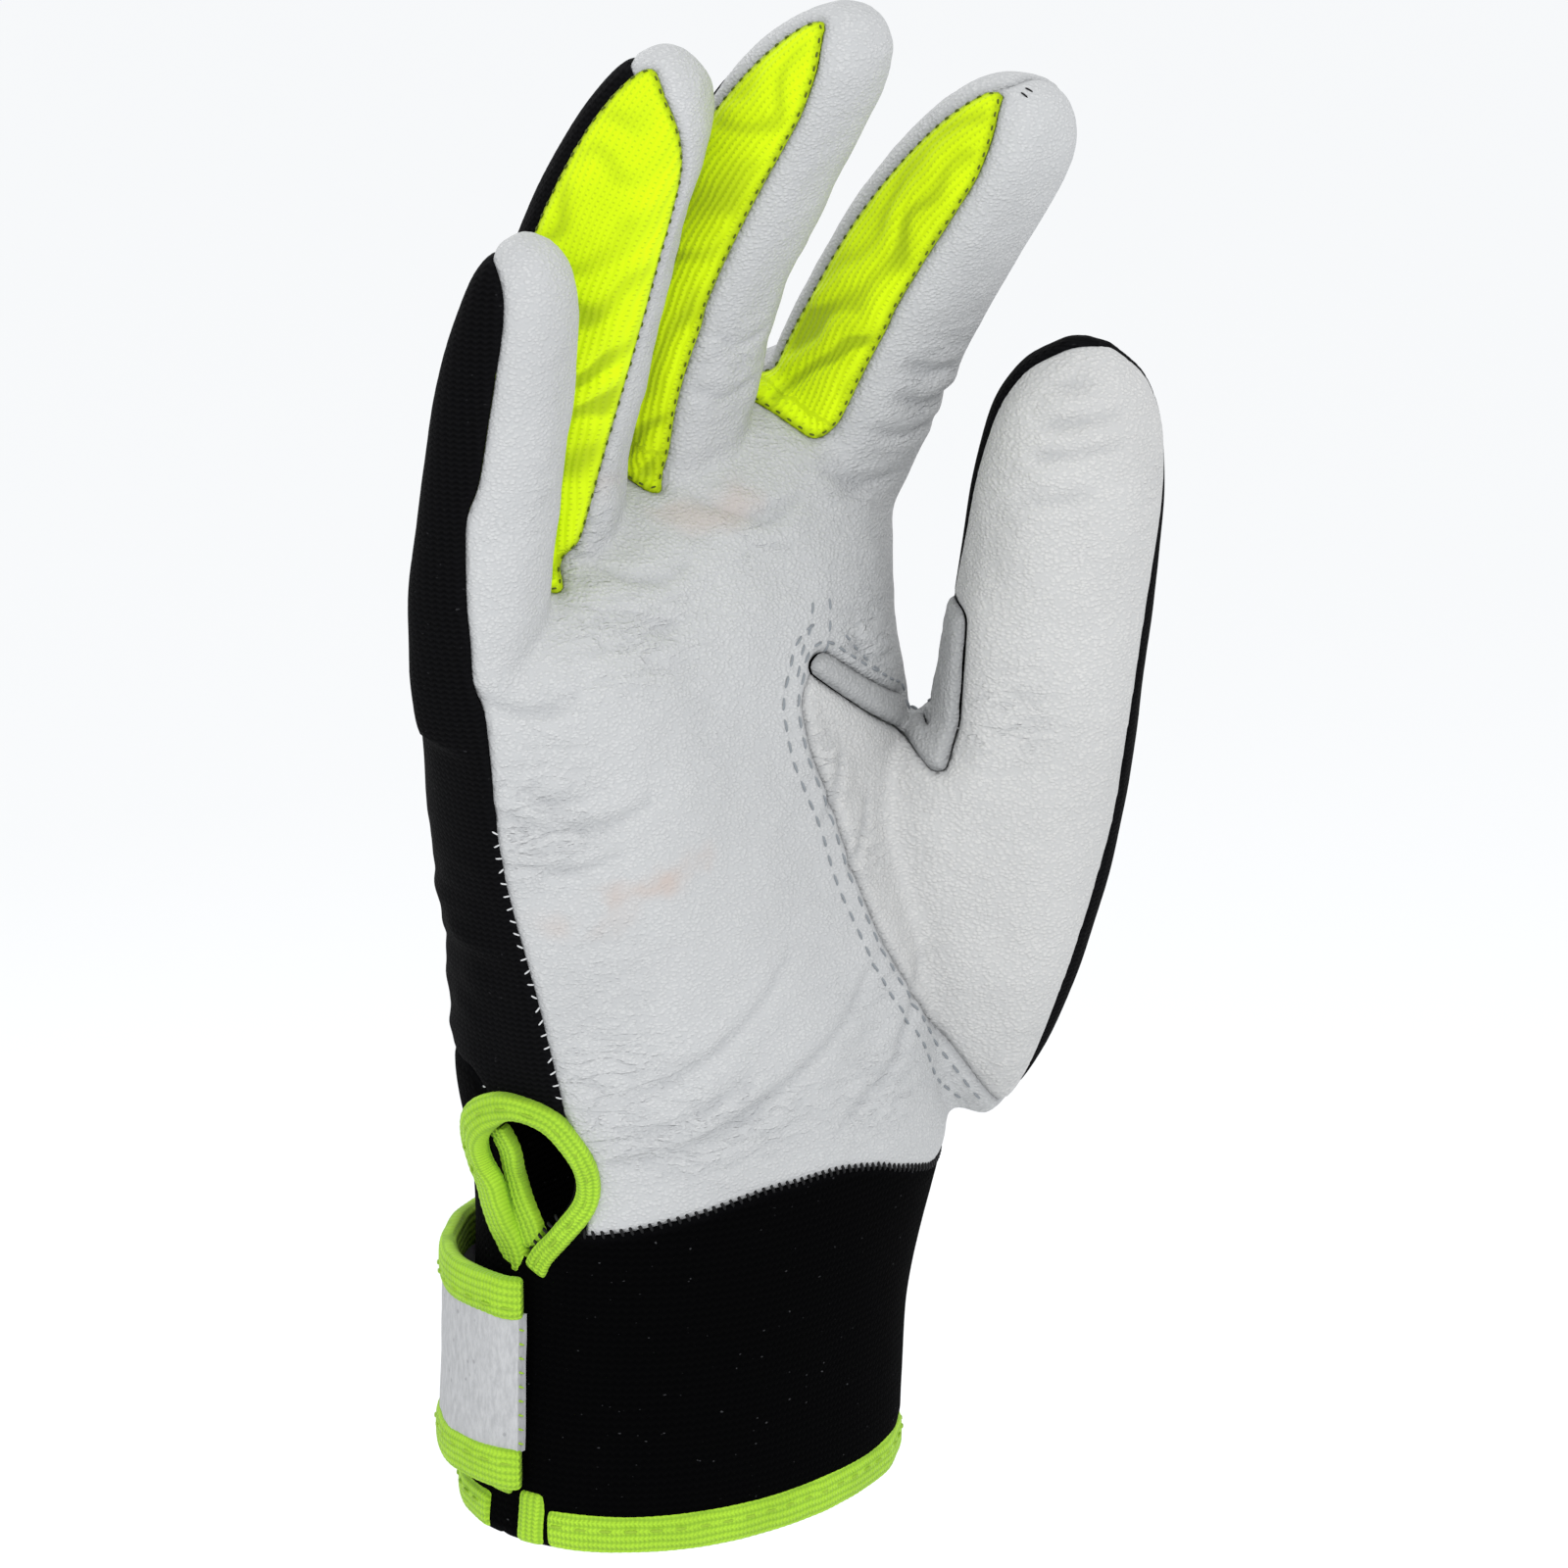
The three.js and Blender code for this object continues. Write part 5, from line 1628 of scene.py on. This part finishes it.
def rows_beside(panel, levels, pitch, length, radius, keep, lift=0.25):
    """Stitch rows along a panel's edge, where keep says so."""
    points, faces, normals, seam = panel
    rows = []
    for level in levels:
        for line in contour(points, faces, seam, level):
            place, way = even_places(smoothed_line(line), pitch)
            chosen = keep(place)
            place, way = place[chosen], way[chosen]
            if len(place):
                out = near_normals(place, points, normals)
                rows.append((place + out * lift, way, out, length, radius))
    return rows


def smoothed_line(line, rounds=12):
    line = line.copy()
    for _ in range(rounds):
        line[1:-1] += 0.5 * ((line[:-2] + line[2:]) / 2 - line[1:-1])
    return line


# Operators: one for each piece or group of like pieces


class GLOVE_OT_leather(bpy.types.Operator):
    """Makes the palm, thumb and index finger's white goatskin panels with their stitches"""

    bl_idname = "glove.leather"
    bl_label = "Leather panels"

    def execute(self, context):
        palm = leather_panel("palm_leather")
        thumb = leather_panel("thumb_leather")
        leather_panel("index_back")
        thumb_edge = thumb[0][open_edge_corners(thumb[1])]
        pitch = millimetres("stitch_pitch")

        def along_thumb(places):
            x, _, z = places.T
            return (nearest(places, thumb_edge)[1] < 7.5) & (z > 52) & (z < 128) & (x < 46)

        rows = rows_beside(palm, (1.6, 4.4), pitch, 1.9, 0.2, along_thumb, 0.05)
        for line in TOP_ROWS:
            place, way = even_places(front_line(palm, line), pitch)
            rows.append((place, way, near_normals(place, palm[0], palm[2]), 1.8, 0.2))
        stitches("thumb_seam_stitches", rows, "grey_thread", "white_leather")
        place, way = even_places(front_line(palm, np.array(INDEX_TIP_LINE)), 1.2)
        out = near_normals(place, palm[0], palm[2])
        rows = [(place, np.cross(out, way), out, 1.3, 0.14)]
        stitches("index_tip_stitches", rows, "dark_thread", "white_leather")
        return {"FINISHED"}


class GLOVE_OT_welt(bpy.types.Operator):
    """Makes the folded welt over the thumb's crotch, in a darker copy of the leather that is painted
    shade
    """

    bl_idname = "glove.welt"
    bl_label = "Crotch welt"

    def execute(self, context):
        points, faces, normals, seam = panel_arrays("crotch_welt")
        relief = np.sqrt(np.clip(seam / 1.5, 0, 1)) - 0.1
        relief = relief + noise_at(points, 3.5, 11) * 0.2
        points = points + normals * relief[:, None]
        piece = make_piece("crotch_welt_fold", points, faces, [("seam", seam)])
        walled(piece, 1.2)
        finished(piece, "grey_leather", "crotch_welt", finishes=["welt"])
        return {"FINISHED"}


class GLOVE_OT_knit(bpy.types.Operator):
    """Makes the black knit backs of the hand and the thumb"""

    bl_idname = "glove.knit"
    bl_label = "Knit backs"

    def execute(self, context):
        wall = millimetres("knit_wall")

        def folds(points):
            down = smooth_step(points[:, 2], 62, 78) * smooth_step(-points[:, 2], -112, -90)
            wave = noise_at(points * np.array([1, 1, 2.4]), 13, 9)
            return wave * 0.7 * down

        def thumb_weave(points):
            return finger_weave(points, ("thumb",), (0.0,))

        def little_side(places):
            x, y, z = places.T
            return (x < -28) & (y < 4) & (z > 66) & (z < 108)

        back = knit_panel("back_knit", "knit", "black_knit", wall, hand_weave, extra=folds)
        knit_panel("thumb_back", "knit", "black_knit", wall, thumb_weave)
        rows = []
        for place, way, *rest in rows_beside(back, (0.25,), 1.9, 1.0, 0.12, little_side, 0.1):
            lean = np.random.default_rng(5).uniform(-0.9, 0.9, (len(place), 1))
            rows.append((place, unit(np.cross(rest[0], way) + way * lean), *rest))
        stitches("little_side_overlock", rows, "white_thread", "black_knit")
        return {"FINISHED"}


class GLOVE_OT_strips(bpy.types.Operator):
    """Makes the fluorescent mesh strips along the sides of the fingers"""

    bl_idname = "glove.strips"
    bl_label = "Finger side strips"

    def execute(self, context):
        rows = []
        for name, (fingers, starts, _) in STRIPS.items():
            points, faces, normals, seam = panel_arrays(name)
            weave = finger_weave(points, fingers, starts)
            fade = smooth_step(seam, 0.2, 2.5)
            slant = points[:, 2] + points[:, 1] * 0.75 + noise_at(points, 15, 21) * 9
            shown = smooth_step(noise_at(points, 18, 23), -0.35, 0.35)
            folds = np.sin(slant * 2 * math.pi / 8.2) * (0.35 + 0.65 * shown)
            folds = folds * (0.3 + 0.7 * smooth_step(-points[:, 2], -196, -168))
            relief = (folds * 0.55 + noise_at(points, 14, 22) * 0.4) * fade
            points = points + normals * (relief + seam_roll(seam, 0.3, 0.6, 0.12, 3.0))[:, None]
            # The fold column also sets the mesh's painted shade in its folds.
            columns = [("seam", seam), ("weave", weave), ("fold", folds * fade)]
            piece = make_piece(name + "_mesh", points, faces, columns)
            walled(piece, millimetres("knit_wall"))
            finished(piece, "yellow_mesh", name, finishes=["mesh"])
            panel = points, faces, corner_normals(points, faces), seam
            rows += rows_beside(panel, (0.35,), 1.9, 0.75, 0.13, lambda p: p[:, 2] > 0, 0.12)
        stitches("strip_edge_stitches", rows, "olive_thread", "yellow_mesh")
        return {"FINISHED"}


class GLOVE_OT_cuff(bpy.types.Operator):
    """Makes the padded black cuff and the overlocked seam at its top"""

    bl_idname = "glove.cuff"
    bl_label = "Cuff"

    def execute(self, context):
        wall = millimetres("cuff_wall")
        cuff = knit_panel("cuff", "cuff", "black_cuff", wall, hand_weave, lined=True, amount=0.35)

        def top_seam(places):
            x, y, z = places.T
            return (z > 38) & (y < -1) & (x > -33)

        rows = []
        for place, way, *rest in rows_beside(cuff, (0.35,), 1.35, 1.5, 0.24, top_seam, 0.35):
            side = np.cross(rest[0], way)
            side = side * np.sign(side[:, 2:])
            rows.append((place + side * 0.55, unit(side + way * 0.25), *rest))
        stitches("cuff_seam_overlock", rows, "dark_thread", "black_cuff")
        return {"FINISHED"}


# The binding's back branch folded into the slit: forward, up, stand-off
SLIT_FOLD = [(-2.6, 61.4, -0.9), (-2.3, 57.5, -1.6), (-3.3, 53.4, -2.0), (-2.2, 49.6, -1.8),
             (-0.4, 46.4, -1.5), (1.0, 43.2, -1.2)]
FOLD_THICKNESS, FOLD_WIDTH = 2.2, 4.6
# How far a binding's stitches lie from its edge
STITCH_INSET = 2.0
# The hem's binding, in degrees round the wrist from the slit's front corner to its back edge
HEM_ANGLES = (188.7, 530.7)


def slit_stops(count):
    places, outs = zip(*(ulnar_place(*stop) for stop in curve_through(SLIT_PATH, count)))
    return np.array(places), np.array(outs)


class GLOVE_OT_bindings(bpy.types.Operator):
    """Makes the lime bindings of the slit and the hem with their stitches"""

    bl_idname = "glove.bindings"
    bl_label = "Slit and hem bindings"

    def execute(self, context):
        places, outs = slit_stops(420)
        wide = SLIT_BINDING_WIDTH + 1.0 - 2.0 * smooth_step(-places[:, 1], -4, 6)
        loop, *_ = tape("slit_tape", zip(places, outs), BINDING_THICKNESS, wide, 0.035, 1.2, 0.4, 3)
        finished(loop, "lime_binding", "slit_binding", finishes=["tape"])
        forward, low, high, off = SLIT_CORNER
        path = [ulnar_place(forward, up, off) for up in np.linspace(low, high, 30)]
        corner, *_ = tape("slit_corner_tape", path, BINDING_THICKNESS, SLIT_BINDING_WIDTH, 0.03)
        finished(corner, "lime_binding", "slit_corner_binding", finishes=["tape"])
        path = [ulnar_place(*stop) for stop in curve_through(SLIT_FOLD, 140)]
        inner, *_ = tape("slit_fold_tape", path, FOLD_THICKNESS, FOLD_WIDTH, 0.05, 1.2, 0.5, 8)
        finished(inner, "lime_binding", finishes=["tape"])
        path = [cuff_place(a, HEM_BINDING_WIDTH / 2, -1.2) for a in np.linspace(*HEM_ANGLES, 760) % 360]
        hem, line, out = tape(
            "hem_tape", path, BINDING_THICKNESS, HEM_BINDING_WIDTH, 0.035, 1.25, 0.35, 4
        )
        finished(hem, "lime_binding", "hem_binding", finishes=["tape"])
        above = [0, 0, HEM_BINDING_WIDTH / 2 - STITCH_INSET]
        rail = line + out * (BINDING_THICKNESS / 2 - 0.02) + above
        place, way = even_places(rail, 3.6)
        rows = [(place, way, near_normals(place, rail, out), 1.9, 0.22)]
        rail = (places + outs * (BINDING_THICKNESS / 2 - 0.05))[:230]
        place, way = even_places(rail, 4.4)
        rows.append((place, way, near_normals(place, rail, outs), 2.0, 0.2))
        stitches("binding_stitches", rows, "lime_thread", "lime_binding")
        return {"FINISHED"}


def strap_line(bottom, top, count):
    """Places and ways out along the strap at the middle of a band between two heights."""
    height = (bottom + top) / 2
    places, outs, ways_up = [], [], []
    for angle, off in smooth_strap(count):
        lean = STRAP_LEAN * smooth_step(np.array(angle), STRAP_LEANS_FROM - 6, STRAP_LEANS_FROM + 6)
        stand_off = off - lean * (height - STRAP_BOTTOM)
        low, high = (cuff_place(angle, up, stand_off) for up in (STRAP_BOTTOM, STRAP_TOP))
        place, out = low if np.hypot(*low[0][:2]) > np.hypot(*high[0][:2]) else high
        places.append(np.array([place[0], place[1], height]))
        outs.append(out)
        ways_up.append(unit(np.array([0, 0, 1.0]) - out * lean))
    return smoothed_line(np.array(places), 30), np.array(outs), np.array(ways_up)


def smooth_strap(count):
    """Angles round the wrist and the strap's stand-off there, from its sewn end on."""
    rows = [(-angle, off) for angle, off in STRAP_PATH]
    at = np.linspace(rows[0][0], rows[-1][0], count)
    return zip(-at, smooth_rows(rows, at)[:, 0])


class GLOVE_OT_strap(bpy.types.Operator):
    """Makes the wrist strap, left bare, with its two bindings and their stitches"""

    bl_idname = "glove.strap"
    bl_label = "Wrist strap"

    def execute(self, context):
        low, high = STRAP_BOTTOM + STRAP_BINDING_WIDTH, STRAP_TOP - STRAP_BINDING_WIDTH
        half = (high - low) / 2 + 0.6
        across = np.linspace(-1, 1, 24) * half
        rings_made = []
        for i, (place, out, up) in enumerate(zip(*strap_line(low, high, 150))):
            spots = np.stack([np.full(len(across), i * 0.7), across, across * 0], 1)
            wave = noise_at(spots, 8, 31) * 0.22
            middle = place + np.outer(across, up)
            outer = middle + np.outer(wave + STRAP_THICKNESS / 2, out)
            inner = middle + np.outer(wave - STRAP_THICKNESS / 2, out)
            rings_made.append(np.vstack([outer, inner[::-1]]))
        strap = make_piece("strap_band", *loft(np.array(rings_made)))
        right_way_out(strap)
        strap.data.shade_flat()
        bpy.ops.object.shade_smooth_by_angle(angle=math.radians(35))
        finished(strap, "grey_strap", "strap", finishes=["strap"])
        rows = []
        for name, bottom, top, toward in (
            ("strap_binding_bottom", STRAP_BOTTOM, low, 1), ("strap_binding_top", high, STRAP_TOP, -1),
        ):
            places, outs, ups = strap_line(bottom, top, 420)
            band, line, out = tape(
                name + "_tape", zip(places, outs), STRAP_BINDING_THICKNESS, STRAP_BINDING_WIDTH,
                0.035, 1.15, 0.2, 6,
            )
            finished(band, "lime_binding", name, finishes=["tape"])
            inset = toward * (STRAP_BINDING_WIDTH / 2 - STITCH_INSET)
            rail = line + out * (STRAP_BINDING_THICKNESS / 2 - 0.04) + ups * inset
            place, way = even_places(rail, 3.9)
            rows.append((place, way, near_normals(place, rail, out), 2.0, 0.22))
        stitches("strap_stitches", rows, "lime_thread", "lime_binding")
        places, outs, ups = strap_line(STRAP_BOTTOM, STRAP_TOP, 150)
        start, out, up = places[0], outs[0], ups[0]
        ahead = unit(places[3] - start)
        place = start + np.outer(np.arange(-8.6, 9.0, 2.1), up) + out * 0.5 + ahead * 0.2
        ways = (np.tile(unit(w), (len(place), 1)) for w in (ahead + up * 0.25, out - ahead * 0.3))
        stitches("strap_edge_overlock", [(place, *ways, 1.7, 0.17)], "lime_thread", "lime_binding")
        return {"FINISHED"}


FLOOR_HEIGHT, FLOOR_SIZE, FLOOR_COLOR = -0.42, 60, (0.92, 0.925, 0.93)
STUDIO_WHITE, STUDIO_STRENGTH = (0.98, 0.99, 1.0, 1), 0.95
GLOVE_MIDDLE = (0, 0, 0.12)
# The lamps: place, size in metres, watts
LAMPS = {
    "key": ((-0.6, -0.8, 0.75), 0.5, 5.0),
    "fill": ((-1.1, -0.2, 0.5), 0.7, 1.6),
    "side": ((0.9, -0.6, 0.5), 0.8, 1.5),
    "back": ((0.3, 1.1, 0.7), 0.8, 4.0),
}
# The camera's place and target in metres, and its lens as focal length over picture width
EYE, TARGET = (-0.63651, -0.55367, 0.32939), (0.02944, 0.00512, 0.09645)
SENSOR_WIDTH, FOCAL_SHARE = 36, 6300 / 1600


def aimed(name, data, place, target):
    """An object at a place that looks at a target."""
    thing = bpy.data.objects.new(name, data)
    bpy.context.collection.objects.link(thing)
    thing.location = place
    thing.rotation_euler = (Vector(target) - Vector(place)).to_track_quat("-Z", "Y").to_euler()
    return thing


class GLOVE_OT_stage(bpy.types.Operator):
    """Makes the pale floor, the soft lights and the camera"""

    bl_idname = "glove.stage"
    bl_label = "Stage, lights and camera"

    def execute(self, context):
        scene = context.scene
        bpy.ops.object.select_all(action="DESELECT")
        bpy.ops.mesh.primitive_plane_add(size=FLOOR_SIZE, location=(0, 0, FLOOR_HEIGHT))
        floor = context.object
        floor.name = "stage_floor"
        floor.data.materials.append(Nodes("stage_pale").surface(
            FLOOR_COLOR, 0.9, Specular_IOR_Level=0.0,
            Emission_Color=STUDIO_WHITE, Emission_Strength=0.07,
        ))
        for name, (place, size, watts) in LAMPS.items():
            data = bpy.data.lights.new(name, "AREA")
            data.shape = "DISK"
            data.size = size
            data.energy = watts
            aimed(name, data, place, GLOVE_MIDDLE)
        world = bpy.data.worlds.new("studio")
        world.use_nodes = True
        background = world.node_tree.nodes["Background"]
        background.inputs["Color"].default_value = STUDIO_WHITE
        background.inputs["Strength"].default_value = STUDIO_STRENGTH
        scene.world = world
        scene.view_settings.view_transform = "Standard"
        data = bpy.data.cameras.new("camera")
        data.sensor_width = SENSOR_WIDTH
        data.lens = SENSOR_WIDTH * FOCAL_SHARE
        data.clip_start = 0.01
        scene.camera = aimed("camera", data, EYE, TARGET)
        return {"FINISHED"}


OPERATORS = (
    GLOVE_OT_leather, GLOVE_OT_welt, GLOVE_OT_knit, GLOVE_OT_strips, GLOVE_OT_cuff,
    GLOVE_OT_bindings, GLOVE_OT_strap, GLOVE_OT_stage,
)


class GLOVE_PT_pieces(bpy.types.Panel):
    """Lists the glove's sizes, colours and pieces"""

    bl_idname = "GLOVE_PT_pieces"
    bl_label = "Work glove"
    bl_space_type = "VIEW_3D"
    bl_region_type = "UI"
    bl_category = "Glove"

    def draw(self, context):
        layout = self.layout
        for group in (context.scene.glove_settings, context.scene.glove_colors):
            box = layout.box()
            for key in group.bl_rna.properties.keys():
                if key not in ("rna_type", "name"):
                    box.prop(group, key)
        for operator in OPERATORS:
            layout.operator(operator.bl_idname)


CLASSES = (GloveSettings, GloveColors, *OPERATORS, GLOVE_PT_pieces)


def register():
    for kind in CLASSES:
        bpy.utils.register_class(kind)
    bpy.types.Scene.glove_settings = bpy.props.PointerProperty(type=GloveSettings)
    bpy.types.Scene.glove_colors = bpy.props.PointerProperty(type=GloveColors)


def unregister():
    del bpy.types.Scene.glove_colors
    del bpy.types.Scene.glove_settings
    for kind in reversed(CLASSES):
        bpy.utils.unregister_class(kind)


def main():
    register()
    for operator in OPERATORS:
        getattr(bpy.ops.glove, operator.bl_idname.split(".")[1])()


if __name__ == "__main__":
    main()
